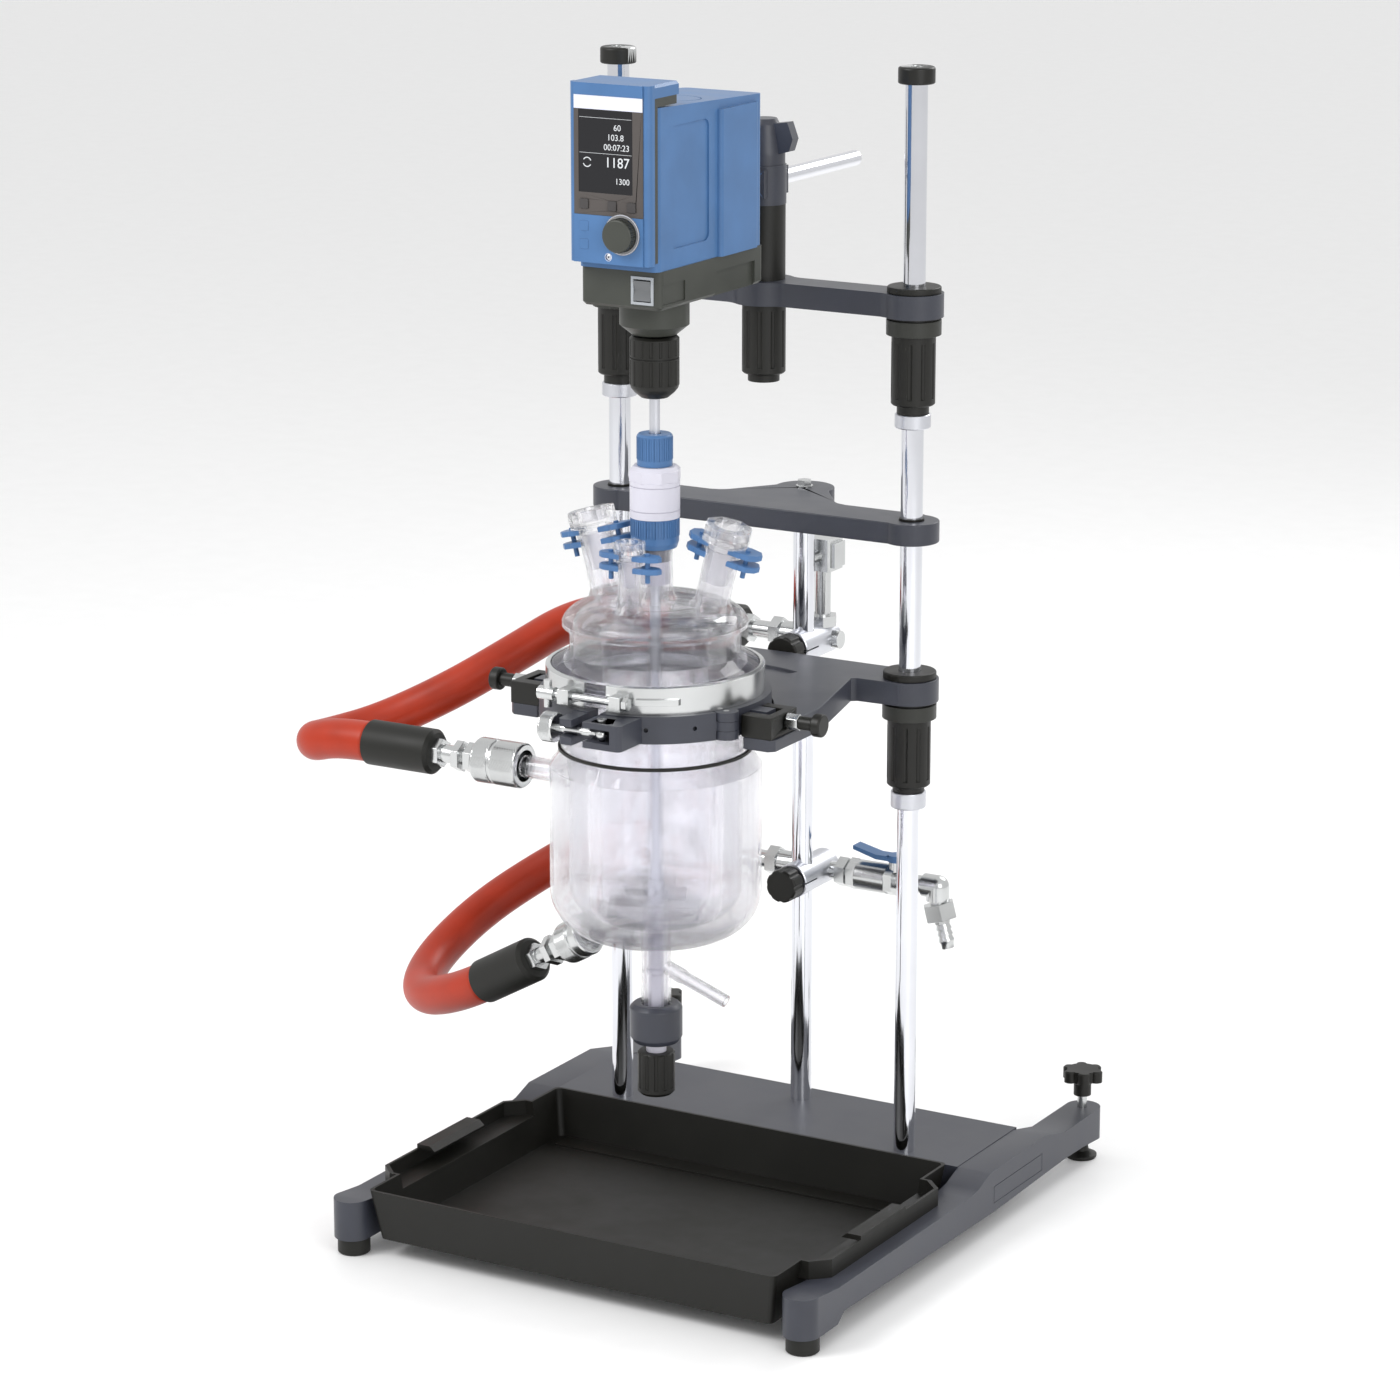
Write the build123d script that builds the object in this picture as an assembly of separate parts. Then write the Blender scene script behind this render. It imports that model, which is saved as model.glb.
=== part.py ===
from build123d import *
import math
import os

# Synthesis reactor: jacketed two litre glass vessel on a three rod bench stand
# Frame: millimetres, +Z up, floor at z = 0, x = 0 midway between the side rods, +Y to the back

# Running and seating clearances
RUN = 0.05
SLIDE = 0.1
SEAT = 0.3

# Base
LEG_X = 250.0
LEG_W = 36.0
LEG_Y = 318.0
LEG_INNER = LEG_X - LEG_W / 2
FOOT_Y = 298.0
FOOT_R = 16.0
FOOT_H = 17.0
LEG_TOP_LOW = 53.0
PLATE_TOP = 65.0
PLATE_BOTTOM = 33.0
PLATE_Y0 = 50.0
PLATE_Y1 = 182.0
LEVEL_SPINDLE_R = 5.0
STAR_R = 20.0
STAR_Z = 80.0

# Drip tray
TRAY_RIM_Z = 71.0
TRAY_FLOOR_Z = 20.0
TRAY_WALL = 3.0
TRAY_X = 226.0
TRAY_Y0 = -308.0
TRAY_Y1 = 40.0
TRAY_DRAFT = 8.0
BULGE_X = 250.0
BULGE_Y0 = -258.0
BULGE_Y1 = -10.0
BULGE_CHAMFER = 16.0
FLAP_Y0 = -185.0
FLAP_Y1 = -94.0

# Rods
ROD_R = 10.75
ROD_X = 163.5
ROD_Y = 68.0
MID_ROD_Y = 151.5
ROD_FOOT_Z = 45.0
ROD_TOP_Z = 1134.0
CAP_R = 17.65
CAP_Z0 = ROD_TOP_Z - 8.0
CAP_Z1 = ROD_TOP_Z + 8.0

# Traverse
TRAVERSE_Z0 = 686.0
TRAVERSE_Z1 = 707.0
HUB_R = 28.5
TRAVERSE_HUB_R = 27.0
MID_HUB_R = 30.0
MID_ROD_TOP = TRAVERSE_Z0 + 12.0

# Top carriage
ARM_Z0 = 905.0
ARM_Z1 = 928.0
ARM_DEPTH = 38.0
DISC_R = 26.0
DISC_Z1 = 934.3
RING_R = 23.5
RING_H = 2.5
COLLAR_R = 26.5
COLLAR_H = 14.8
GRIP_R = 21.25
GRIP_SLOTS = 10
GRIP_TOP_H = 67.9
NECK_R = 15.5
STOP_RING_R = 17.4
STOP_Z0 = 797.6
STOP_Z1 = 811.2
COLUMN_R = 20.65
COLUMN_Z1 = 1001.0
CLAMP_Z1 = 1039.0
WING_Z1 = 1083.0
MOUNT_ROD_R = 8.0
MOUNT_ROD_Z = 1022.5
MOUNT_ROD_Y1 = 252.0
MOUNT_GROOVE_Y = 96.0

# Vessel axis and stirrer axis
AXIS_Y = -140.0

# Stirrer head
HEAD_X = 43.0
HOOD_FRONT = -222.0
HOUSING_FRONT = -206.0
HOUSING_BACK = -11.0
HOUSING_Z0 = 975.0
HOUSING_H = 150.0
HOUSING_TOP_FRONT = HOUSING_Z0 + HOUSING_H
HOUSING_TOP_BACK = HOUSING_TOP_FRONT - 7.0
TRIM_Z0 = HOUSING_TOP_FRONT + 1.0
TRIM_Z1 = TRIM_Z0 + 8.0
TRIM_FRONT = -211.0
HOOD_Z0 = HOUSING_Z0 + 7.0
HOOD_Z1 = TRIM_Z1 + 12.0
HOUSING_X = 42.4
REAR_X = 46.8
LOWER_FRONT = -201.0
LOWER_Z0 = 938.5
PANEL_X = 36.5
PANEL_Z0 = 1026.0
PANEL_Z1 = TRIM_Z1 + 1.0
DISPLAY_X0 = -31.5
DISPLAY_X1 = 25.5
DISPLAY_Z0 = 1046.5
DISPLAY_Z1 = PANEL_Z1 - 13.0
DIAL_X = 14.5
DIAL_Z = 1010.0
DIAL_R = 15.3
BUTTON_W = 9.0
KEY_W = 9.4
KEY_CORNER = 1.2
ROCKER_X0 = 11.8
ROCKER_X1 = 35.5
ROCKER_Z0 = 943.5
ROCKER_Z1 = 969.5
ROCKER_RIM = 2.6
ROCKER_PIVOT_R = 2.0
BOSS_R = 32.75
BOSS_Z0 = 906.0
CHUCK_R = 23.25
CHUCK_Z0 = 845.0
CHUCK_Z1 = 905.0
SHAFT_R = 5.0
IMPELLER_Z0 = 352.0
IMPELLER_R = 30.0

# Vessel carrier
CARRIER_Z0 = 528.0
CARRIER_Z1 = 551.0
BLOCK_Z0 = 539.5
BLOCK_Z1 = 561.0
CUTOUT_R = 112.0
ARM_X0 = 113.0
ARM_X1 = 145.0
ARM_FRONT = -171.0
VRING_Z0 = 420.7
VGRIP_Z0 = 437.0
VCOLLAR_Z0 = 511.0
HOLDER_R0 = 93.0
HOLDER_R1 = 110.5
HOLDER_Z0 = 539.5
HOLDER_Z1 = 565.7
PLUNGER_Y = -140.0
PLUNGER_Z = 552.0
HINGE_X = 101.0
HINGE_Y = -181.0
BOLT_X = 20.0
BOLT_Y = -271.0
BOLT_Z = 553.0
LUG_FRONT = -281.0
LUG_SPLIT = -7.0
SEGMENT_X0 = 5.0
SPLIT_LINE_X = 2.0
LUG_X0 = -21.5
LUG_X1 = 45.0
NUT_GAP = 6.5
NUT_LEN = 14.5
THUMB_R = 14.0
EAR_R = 11.5
SEGMENT_HOLES = (26.0, 50.0)
SEGMENT_HOLE_R = 2.2
SEGMENT_HOLE_DEPTH = 5.0
EAR_Z0 = HOLDER_Z0 + 8.5
EAR_Z1 = HOLDER_Z1 - 8.5

# Vessel glass
FLANGE_R = 99.0
VESSEL_FLANGE_Z0 = 567.5
GASKET_Z0 = 579.0
GASKET_Z1 = 580.0
NECK_GLASS_R = 90.0
JACKET_R = 101.5
JACKET_SHOULDER = 492.0
JACKET_STRAIGHT = 368.5
JACKET_BOTTOM = 323.5
INNER_R = 83.0
INNER_BOTTOM = 340.0
WALL = 3.5
ORING_Z0 = 508.0
ORING_Z1 = 511.0
DRAIN_R = 14.5
DRAIN_BORE_R = 12.0
DRAIN_Z0 = 249.0
SIDE_ARM_R = 6.3
SIDE_ARM_LEN = 74.0
ARM_ROOT_R = 7.4
ARM_ROOT_LEN = 22.0

# Lid
LID_Z0 = GASKET_Z1
LID_FLANGE_Z1 = 590.0
LID_R = 81.5
LID_BEAD_R = 88.2
LID_HEIGHT = 72.5
LID_TOP = LID_Z0 + LID_HEIGHT
LID_BEAD_Z = LID_TOP - 22.5
LID_WALL = 4.0
LID_CROWN_R = 52.0
CENTRE_NECK_R = 16.75
CENTRE_NECK_LEN = 58.5
CENTRE_NECK_Z1 = LID_TOP + CENTRE_NECK_LEN
SIDE_NECK_X = 56.0
SIDE_NECK_Y = -132.0
SIDE_NECK_R = 16.5
SIDE_NECK_LEAN = 14.0
SIDE_NECK_LEN = 59.0
SIDE_NECK_SINK = 2.5
FRONT_NECK_X = 2.0
FRONT_NECK_Y = -190.0
FRONT_NECK_R = 10.85
FRONT_NECK_LEN = 47.5
FRONT_NECK_Z1 = LID_TOP + FRONT_NECK_LEN
NECK_WALL = 2.2
CLIP_T = 5.2

# Seal
SEAL_NUT_R = 22.8
SEAL_NUT_Z1 = CENTRE_NECK_Z1 + 21.0
SEAL_BODY_R = 23.75
SEAL_BODY_H = 49.0
SEAL_BODY_Z1 = SEAL_NUT_Z1 + SEAL_BODY_H
SEAL_SLEEVE_LEN = 43.0
SEAL_CAP_R = 16.75
SEAL_CAP_H = 30.4
SEAL_CAP_Z1 = SEAL_BODY_Z1 + SEAL_CAP_H

# Clamp band
BAND_R = 104.3
BAND_T = 1.8
BAND_Z0 = HOLDER_Z1
BAND_Z1 = 592.0
CLAMP_Y = -249.0
CLAMP_Z = 578.0

# Drain valve
DRAIN_RING_R = 25.5
DRAIN_RING_Z0 = 213.0
DRAIN_RING_Z1 = 252.0
SPINDLE_R = 7.5
DRAIN_KNOB_R = 18.2
DRAIN_KNOB_Z0 = 160.0
DRAIN_KNOB_Z1 = 203.0

# Jacket nozzles
NOZZLE_R = 11.0
NOZZLE_Z = 468.0
NUT_R = 22.0
NOZZLE_LEN = 50.0
SLEEVE_R = 22.5
HOSE_R = 20.0
SLEEVE_LEN = 76.0
SLEEVE_END = 8.0
FITTING_END = 78.0
LOWER_ANGLE = 29.3
LOWER_TURN = 10.0
LOWER_START_R = 50.0
LOWER_START_Z = 323.8
LOWER_NOZZLE_LEN = 41.3
LOWER_NUT_R = 20.5
UPPER_NUT_BACK = 24.0
LOWER_NUT_BACK = 4.0

# Manifolds
PIPE_Y = 186.0
PIPE_R = 9.0
LOWER_PIPE_Z = 303.0
UPPER_PIPE_Z = 545.5
LOWER_SLEEVE_X = -118.0
UPPER_SLEEVE_X = -87.0
CLAMP_CYL_R = 17.5
LEVER_X = 90.0
RISER_X = 3.0
OUTLET_NUT_W = 30.0
KNOB_R = 17.0


def at(x, y, z=0.0):
    return Location((x, y, z))


def disc(r, z0, z1, x=0.0, y=0.0):
    return at(x, y, (z0 + z1) / 2) * Cylinder(r, z1 - z0)


def block(x0, x1, y0, y1, z0, z1):
    centre = at((x0 + x1) / 2, (y0 + y1) / 2, (z0 + z1) / 2)
    return centre * Box(x1 - x0, y1 - y0, z1 - z0)


def along_x(r, x0, x1, y, z):
    return at((x0 + x1) / 2, y, z) * Rotation(0, 90, 0) * Cylinder(r, x1 - x0)


def along_y(r, y0, y1, x, z):
    return at(x, (y0 + y1) / 2, z) * Rotation(90, 0, 0) * Cylinder(r, y1 - y0)


def prism(points, z0, z1):
    face = make_face(Polyline(*[(x, y, z0) for x, y in points], close=True))
    return extrude(face, z1 - z0, dir=(0, 0, 1))


def spun(points, x=0.0, y=0.0):
    # Solid turned from (radius, height) corners about a vertical axis
    face = make_face(Polyline(*[(r, 0, z) for r, z in points], close=True))
    return at(x, y, 0) * revolve(face, Axis.Z)


def hexagon(across, z0, z1, x=0.0, y=0.0, sides=6):
    radius = across / 2 / math.cos(math.pi / sides)
    return at(x, y, z0) * extrude(RegularPolygon(radius, sides), z1 - z0)


def joined(parts):
    whole = parts[0]
    for piece in parts[1:]:
        whole = whole + piece
    return whole


def placed(shape, origin, direction):
    # Puts a shape drawn up +Z onto a start point and a direction
    return Plane(origin=origin, z_dir=direction).location * shape


def group(parts):
    return Compound(children=list(parts))


# Base pieces
def leg(side):
    top = [(LEG_Y, 54.5), (218, 54.5), (175, 64.5), (52, 64.5), (26, 55.5), (8, LEG_TOP_LOW),
           (-262, LEG_TOP_LOW), (-300, 57), (-LEG_Y, 57)]
    under = [(-LEG_Y, FOOT_H), (-263, FOOT_H), (-250, 26.5), (-110, 23.5), (62, 21), (220, 25), (264, 24),
             (LEG_Y, 20)]
    line = Polyline(*[(LEG_INNER, y, z) for y, z in top + under], close=True)
    body = extrude(make_face(line), LEG_W, dir=(1, 0, 0))
    plan = extrude(SlotOverall(2 * LEG_Y, LEG_W, rotation=90), 90)
    body = body & at(LEG_X, 0, 0) * plan
    body = body - disc(LEVEL_SPINDLE_R + RUN, 0, 90, LEG_X, FOOT_Y)
    cover = block(LEG_INNER + LEG_W - 0.6, LEG_INNER + LEG_W + 1, 60, 168, 30.0, 48.0)
    rim = block(LEG_INNER + LEG_W - 2, LEG_INNER + LEG_W + 1, 60.8, 167.2, 30.8, 47.2)
    body = body - (cover - rim)
    return body if side > 0 else mirror(body, Plane.YZ)


def cross_plate():
    plate = block(-LEG_INNER, LEG_INNER, PLATE_Y0, PLATE_Y1, PLATE_BOTTOM, PLATE_TOP)
    for x0, x1 in ((-225, -188), (-139, -26), (26, 139), (188, 225)):
        plate = plate - block(x0, x1, PLATE_Y0 + 7, PLATE_Y1 - 7, PLATE_BOTTOM - 1, PLATE_TOP - 10)
    for x, y in rod_places():
        plate = plate - disc(ROD_R, ROD_FOOT_Z, PLATE_TOP + 1, x, y)
        plate = plate - disc(9, PLATE_BOTTOM - 1, PLATE_BOTTOM + 7, x, y)
    return plate


def rod_places():
    return [(-ROD_X, ROD_Y), (ROD_X, ROD_Y), (0.0, MID_ROD_Y)]


def plate_bolts():
    return group([hexagon(13, PLATE_BOTTOM + 0.5, PLATE_BOTTOM + 7, x, y) for x, y in rod_places()])


def front_feet():
    pads = []
    for side in (-1, 1):
        pad = disc(FOOT_R, 0, FOOT_H, side * LEG_X, -FOOT_Y)
        pads.append(chamfer(pad.edges().group_by(Axis.Z)[0], 1.5))
    return group(pads)


def levelling_feet():
    feet = []
    for side in (-1, 1):
        outline = [(0, 0), (15, 0), (16, 1.5), (16, 4), (8, 8), (7, 14), (0, 14)]
        feet.append(spun(outline, side * LEG_X, FOOT_Y))
    return group(feet)


def star_knob(side):
    lobes = [disc(STAR_R - 4, STAR_Z + 4, STAR_Z + 16)]
    for i in range(6):
        angle = math.radians(60 * i)
        x = (STAR_R - 5) * math.cos(angle)
        y = (STAR_R - 5) * math.sin(angle)
        lobe = disc(6.5, STAR_Z + 4, STAR_Z + 16)
        lobes.append(at(x, y, 0) * chamfer(lobe.edges().group_by(Axis.Z)[-1], 1.5))
    head = joined(lobes)
    boss = spun([(0, STAR_Z - 12), (9, STAR_Z - 12), (9, STAR_Z), (14, STAR_Z + 4), (0, STAR_Z + 4)])
    screw = disc(LEVEL_SPINDLE_R, 14.0, STAR_Z - 12)
    return at(side * LEG_X, FOOT_Y, 0) * (head + boss), at(side * LEG_X, FOOT_Y, 0) * screw


def tray_bowl(inset, z0, z1):
    # Drafted box, narrower at the floor
    slope = TRAY_DRAFT / (TRAY_RIM_Z - TRAY_FLOOR_Z)
    faces = []
    for z in (z0, z1):
        shrink = inset + (TRAY_RIM_Z - z) * slope
        wide = 2 * (TRAY_X - shrink)
        deep = TRAY_Y1 - TRAY_Y0 - 2 * shrink
        faces.append(at(0, (TRAY_Y0 + TRAY_Y1) / 2, z) * RectangleRounded(wide, deep, 6))
    return loft(faces)


def tray_bulge(side, inset, z0, z1):
    x0 = TRAY_X - 20
    x1 = BULGE_X - inset
    y0 = BULGE_Y0 + inset
    y1 = BULGE_Y1 - inset
    cut = BULGE_CHAMFER
    points = [(side * x0, y0), (side * (x1 - cut), y0), (side * x1, y0 + cut), (side * x1, y1 - cut),
              (side * (x1 - cut), y1), (side * x0, y1)]
    return prism(points, z0, z1)


def drip_tray():
    outer = tray_bowl(0, TRAY_FLOOR_Z, TRAY_RIM_Z)
    inner = tray_bowl(TRAY_WALL, TRAY_FLOOR_Z + TRAY_WALL, TRAY_RIM_Z + 2)
    for side in (-1, 1):
        outer = outer + tray_bulge(side, 0, LEG_TOP_LOW, TRAY_RIM_Z)
        inner = inner + tray_bulge(side, TRAY_WALL, LEG_TOP_LOW + TRAY_WALL, TRAY_RIM_Z + 2)
    tray = outer - inner
    for side in (-1, 1):
        # Bridge over the bulge that serves as the handle
        wedge = [(BULGE_X - TRAY_WALL - 18, TRAY_RIM_Z - 1), (BULGE_X, TRAY_RIM_Z - 1),
                 (BULGE_X, TRAY_RIM_Z + 4),
                 (BULGE_X - 15, TRAY_RIM_Z + 4)]
        face = make_face(Polyline(*[(side * x, FLAP_Y0, z) for x, z in wedge], close=True))
        tray = tray + extrude(face, FLAP_Y1 - FLAP_Y0, dir=(0, 1, 0))
    rib = block(-TRAY_X + 22, TRAY_X - 22, TRAY_Y1 - 40, TRAY_Y1 - 34, TRAY_FLOOR_Z + TRAY_WALL - 1,
                TRAY_FLOOR_Z + TRAY_WALL + 2)
    return tray + rib


# Rods and traverse
def side_rod(side):
    return disc(ROD_R, ROD_FOOT_Z, ROD_TOP_Z, side * ROD_X, ROD_Y)


def middle_rod():
    return disc(ROD_R, ROD_FOOT_Z, MID_ROD_TOP, 0, MID_ROD_Y)


def rod_caps():
    caps = []
    for side in (-1, 1):
        cap = disc(CAP_R, CAP_Z0, CAP_Z1)
        cap = fillet(cap.edges().group_by(Axis.Z)[-1], 2.5)
        cap = chamfer(cap.edges().group_by(Axis.Z)[0], 1.0)
        cap = cap - disc(ROD_R, CAP_Z0 - 1, ROD_TOP_Z)
        cap = cap - disc(6.5, ROD_TOP_Z - 1, CAP_Z1 + 1)
        caps.append(at(side * ROD_X, ROD_Y, 0) * cap)
    return group(caps)


def cap_screws():
    screws = []
    for side in (-1, 1):
        screw = disc(6.5, ROD_TOP_Z, CAP_Z1 - 0.5)
        screw = screw - hexagon(6, CAP_Z1 - 4.5, CAP_Z1 + 1)
        screws.append(at(side * ROD_X, ROD_Y, 0) * screw)
    return group(screws)


def traverse():
    bar = at(0, 71) * Rectangle(2 * ROD_X, 52)
    web = make_face(Polyline((-66, 96), (-26, 152), (26, 152), (66, 96), close=True))
    plan = bar + web
    for x in (-ROD_X, ROD_X):
        plan = plan + at(x, ROD_Y) * Circle(TRAVERSE_HUB_R)
    plan = plan + at(0, MID_ROD_Y) * Circle(MID_HUB_R)
    body = extrude(plan, TRAVERSE_Z1 - TRAVERSE_Z0)
    body = at(0, 0, TRAVERSE_Z0) * body
    corners = []
    for edge in body.edges().filter_by(Axis.Z):
        c = edge.center()
        if abs(c.Y - 97) < 3 and 40 < abs(c.X) < 90:
            corners.append(edge)
    body = fillet(corners, 24)
    for side in (-1, 1):
        body = body - disc(12.0, TRAVERSE_Z0 - 1, TRAVERSE_Z1 + 1, side * ROD_X, ROD_Y)
    body = body - disc(ROD_R, TRAVERSE_Z0 - 1, MID_ROD_TOP, 0, MID_ROD_Y)
    body = body - disc(4.2, TRAVERSE_Z0, TRAVERSE_Z1 + 1, 0, MID_ROD_Y)
    return body


def traverse_bushings():
    parts = []
    for side in (-1, 1):
        ring = disc(12.0, TRAVERSE_Z0 - 1.5, TRAVERSE_Z1 + 2) - disc(ROD_R, TRAVERSE_Z0 - 3,
                                                                     TRAVERSE_Z1 + 3)
        parts.append(at(side * ROD_X, ROD_Y, 0) * ring)
    return group(parts)


def traverse_bolt():
    head = hexagon(13, TRAVERSE_Z1 + 1.6, TRAVERSE_Z1 + 7, 0, MID_ROD_Y)
    washer = disc(8.5, TRAVERSE_Z1, TRAVERSE_Z1 + 1.6, 0, MID_ROD_Y)
    shank = disc(4.0, MID_ROD_TOP, TRAVERSE_Z1 + 1, 0, MID_ROD_Y)
    return head + washer + shank


def stop_rings(z0, z1, slide):
    rings = []
    for side in (-1, 1):
        ring = disc(STOP_RING_R, z0, z1)
        ring = chamfer(ring.edges().group_by(Axis.Z)[0] + ring.edges().group_by(Axis.Z)[-1], 0.8)
        rings.append(at(side * ROD_X, ROD_Y, 0) * (ring - disc(ROD_R + slide, z0 - 1, z1 + 1)))
    return group(rings)


# Clamp hubs and grips shared by both carriages
def grip(z0, z1, neck_z0, x, y, bore, slots=GRIP_SLOTS):
    body = disc(GRIP_R, z0, z1)
    body = chamfer(body.edges().group_by(Axis.Z)[0], 1.5)
    for i in range(slots):
        angle = math.radians(360 / slots * i)
        cx = (GRIP_R + 1.2) * math.cos(angle)
        cy = (GRIP_R + 1.2) * math.sin(angle)
        body = body - disc(2.6, z0 + 7, z1 - 7, cx, cy)
    body = body + disc(NECK_R, neck_z0, z0 + 1)
    return at(x, y, 0) * (body - disc(bore, neck_z0 - 1, z1 + 1))


def hub_rings(plate_z0, collar_z0, bore):
    rings = []
    for side in (-1, 1):
        collar = disc(COLLAR_R, collar_z0, plate_z0 - RING_H) + disc(RING_R, plate_z0 - RING_H - 1,
                                                                     plate_z0)
        collar = collar - disc(bore, collar_z0 - 1, plate_z0 + 1)
        rings.append(at(side * ROD_X, ROD_Y, 0) * collar)
    return group(rings)


def hub_discs(z0, z1, bore):
    discs = []
    for side in (-1, 1):
        top = disc(DISC_R, z0, z1)
        top = chamfer(top.edges().group_by(Axis.Z)[-1], 1.0)
        discs.append(at(side * ROD_X, ROD_Y, 0) * (top - disc(bore, z0 - 1, z1 + 1)))
    return group(discs)


def top_arm():
    plan = at(0, ROD_Y) * Rectangle(2 * ROD_X, ARM_DEPTH)
    plan = plan + at(0, ROD_Y) * Circle(MID_HUB_R)
    for x in (-ROD_X, ROD_X):
        plan = plan + at(x, ROD_Y) * Circle(HUB_R)
    body = at(0, 0, ARM_Z0) * extrude(plan, ARM_Z1 - ARM_Z0)
    corners = []
    for edge in body.edges().filter_by(Axis.Z):
        if abs(abs(edge.center().Y - ROD_Y) - ARM_DEPTH / 2) < 1:
            corners.append(edge)
    body = fillet(corners, 22)
    for x in (-ROD_X, ROD_X):
        body = body - disc(ROD_R + SLIDE, ARM_Z0 - 1, ARM_Z1 + 1, x, ROD_Y)
    return body


def column_tube():
    tube = disc(COLUMN_R, ARM_Z1, COLUMN_Z1, 0, ROD_Y)
    return tube


def column_clamp():
    body = disc(COLUMN_R + 0.6, COLUMN_Z1, CLAMP_Z1, 0, ROD_Y)
    body = body + block(-13, 13, ROD_Y - 24, ROD_Y + 24, COLUMN_Z1 + 8, CLAMP_Z1 - 3)
    body = body - along_y(MOUNT_ROD_R, -20, 160, 0, MOUNT_ROD_Z)
    return body


def wing_cap():
    hub = spun([(0, CLAMP_Z1), (20, CLAMP_Z1), (20, CLAMP_Z1 + 10), (15, WING_Z1 - 6), (12, WING_Z1),
                (0, WING_Z1)])
    wings = []
    for side in (-1, 1):
        points = [(0, CLAMP_Z1 + 6), (side * 30, CLAMP_Z1 + 14), (side * 34, CLAMP_Z1 + 26),
                  (side * 28, WING_Z1 - 2),
                  (0, WING_Z1 - 6)]
        face = make_face(Polyline(*[(x, -6, z) for x, z in points], close=True))
        wings.append(extrude(face, 12, dir=(0, 1, 0)))
    return at(0, ROD_Y, 0) * joined([hub] + wings)


def mounting_rod():
    rod = along_y(MOUNT_ROD_R, HOUSING_BACK, MOUNT_ROD_Y1, 0, MOUNT_ROD_Z)
    groove = along_y(MOUNT_ROD_R + 1, MOUNT_GROOVE_Y, MOUNT_GROOVE_Y + 1.5, 0, MOUNT_ROD_Z)
    groove = groove - along_y(MOUNT_ROD_R - 0.5, MOUNT_GROOVE_Y - 1, MOUNT_GROOVE_Y + 3, 0, MOUNT_ROD_Z)
    return chamfer(rod.edges().group_by(Axis.Y)[-1], 1.0) - groove


# Stirrer head
def head_housing():
    side = [(HOUSING_FRONT, HOUSING_Z0), (HOUSING_BACK, HOUSING_Z0), (HOUSING_BACK, HOUSING_TOP_BACK),
            (HOUSING_FRONT, HOUSING_TOP_FRONT)]
    face = make_face(Polyline(*[(-HOUSING_X, y, z) for y, z in side], close=True))
    body = extrude(face, 2 * HOUSING_X, dir=(1, 0, 0))
    body = fillet(body.edges().filter_by(Axis.Z), 7)
    rear = block(-REAR_X, REAR_X, -96, -26, HOUSING_Z0, 1112)
    rear = fillet(rear.edges().filter_by(Axis.Z), 4)
    body = body + rear
    for side in (-1, 1):
        panel = block(40.8, 44, -181, -112, 993, 1106)
        panel = fillet(panel.edges().filter_by(Axis.X), 8)
        panel = panel if side > 0 else mirror(panel, Plane.YZ)
        body = body - panel
    ring = disc(30, 1124, 1150, 0, -112) - disc(28.8, 1100, 1160, 0, -112)
    slope = at(0, 0, -4.4) * ring
    body = body - (slope & block(-60, 60, -160, -60, 1117, 1140))
    return body


def head_lower():
    body = block(-HEAD_X, HEAD_X, LOWER_FRONT, HOUSING_BACK + 1, LOWER_Z0, HOUSING_Z0)
    body = fillet(body.edges().filter_by(Axis.Z), 6)
    body = chamfer(body.edges().group_by(Axis.Z)[0], 3)
    for side in (-1, 1):
        recess = block(41.8, 45, -197, -157, 943.5, 962)
        scoop = block(40, 50, -101, -27, 930, 962)
        for cut in (recess, scoop):
            body = body - (cut if side > 0 else mirror(cut, Plane.YZ))
    boss = spun([(0, LOWER_Z0 + 5), (BOSS_R, LOWER_Z0 + 5), (BOSS_R, 915), (21.7, BOSS_Z0), (0, BOSS_Z0)],
                0, AXIS_Y)
    body = body + boss
    body = body - disc(9, BOSS_Z0 - 1, BOSS_Z0 + 16, 0, AXIS_Y)
    body = body - block(ROCKER_X0, ROCKER_X1, LOWER_FRONT - 1, LOWER_FRONT + 12, ROCKER_Z0, ROCKER_Z1)
    return body


def head_hood():
    front = block(-PANEL_X, PANEL_X, HOOD_FRONT, HOOD_FRONT + 5, HOOD_Z0, HOOD_Z1)
    shell = block(-HEAD_X, HEAD_X, HOOD_FRONT + 1.5, TRIM_FRONT, HOOD_Z0, HOOD_Z1)
    shell = fillet(shell.edges().filter_by(Axis.Z).group_by(Axis.Y)[0], 6)
    top = block(-HEAD_X, HEAD_X, TRIM_FRONT - 3, -168, TRIM_Z1, HOOD_Z1)
    top = chamfer(top.edges().group_by(Axis.Z)[-1].filter_by(Axis.Y), 2.5)
    hood = shell + top
    recess = block(-PANEL_X, PANEL_X, HOOD_FRONT - 1, HOOD_FRONT + 3.5, PANEL_Z0, PANEL_Z1)
    hood = hood + front - recess
    hood = hood - along_y(DIAL_R + SEAT, HOOD_FRONT - 2, HOOD_FRONT + 6, DIAL_X, DIAL_Z)
    for x, z in button_places():
        hood = hood - key_shape(BUTTON_W + 2 * RUN, x, z, HOOD_FRONT - 2, HOOD_FRONT + 7)
    for x, z in key_places():
        hood = hood - key_shape(KEY_W + 2 * RUN, x, z, HOOD_FRONT - 2, HOOD_FRONT + 7)
    return hood - along_y(3.2, HOOD_FRONT - 2, HOOD_FRONT + 8, 0, 988.5)


def head_trim():
    plate = block(-HEAD_X, HEAD_X, TRIM_FRONT, HOUSING_FRONT, HOOD_Z0 + 2, TRIM_Z1)
    top = block(-HEAD_X, HEAD_X, TRIM_FRONT, -172, TRIM_Z0, TRIM_Z1)
    tab = block(-12, 12, -172, -160, TRIM_Z0, TRIM_Z0 + 4)
    return plate + top + tab


def key_shape(width, x, z, y0, y1):
    # Square key with rounded corners, pressed along +Y
    outline = Plane.XZ * RectangleRounded(width, width, KEY_CORNER)
    return at(x, y1, z) * extrude(outline, y1 - y0)


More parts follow.
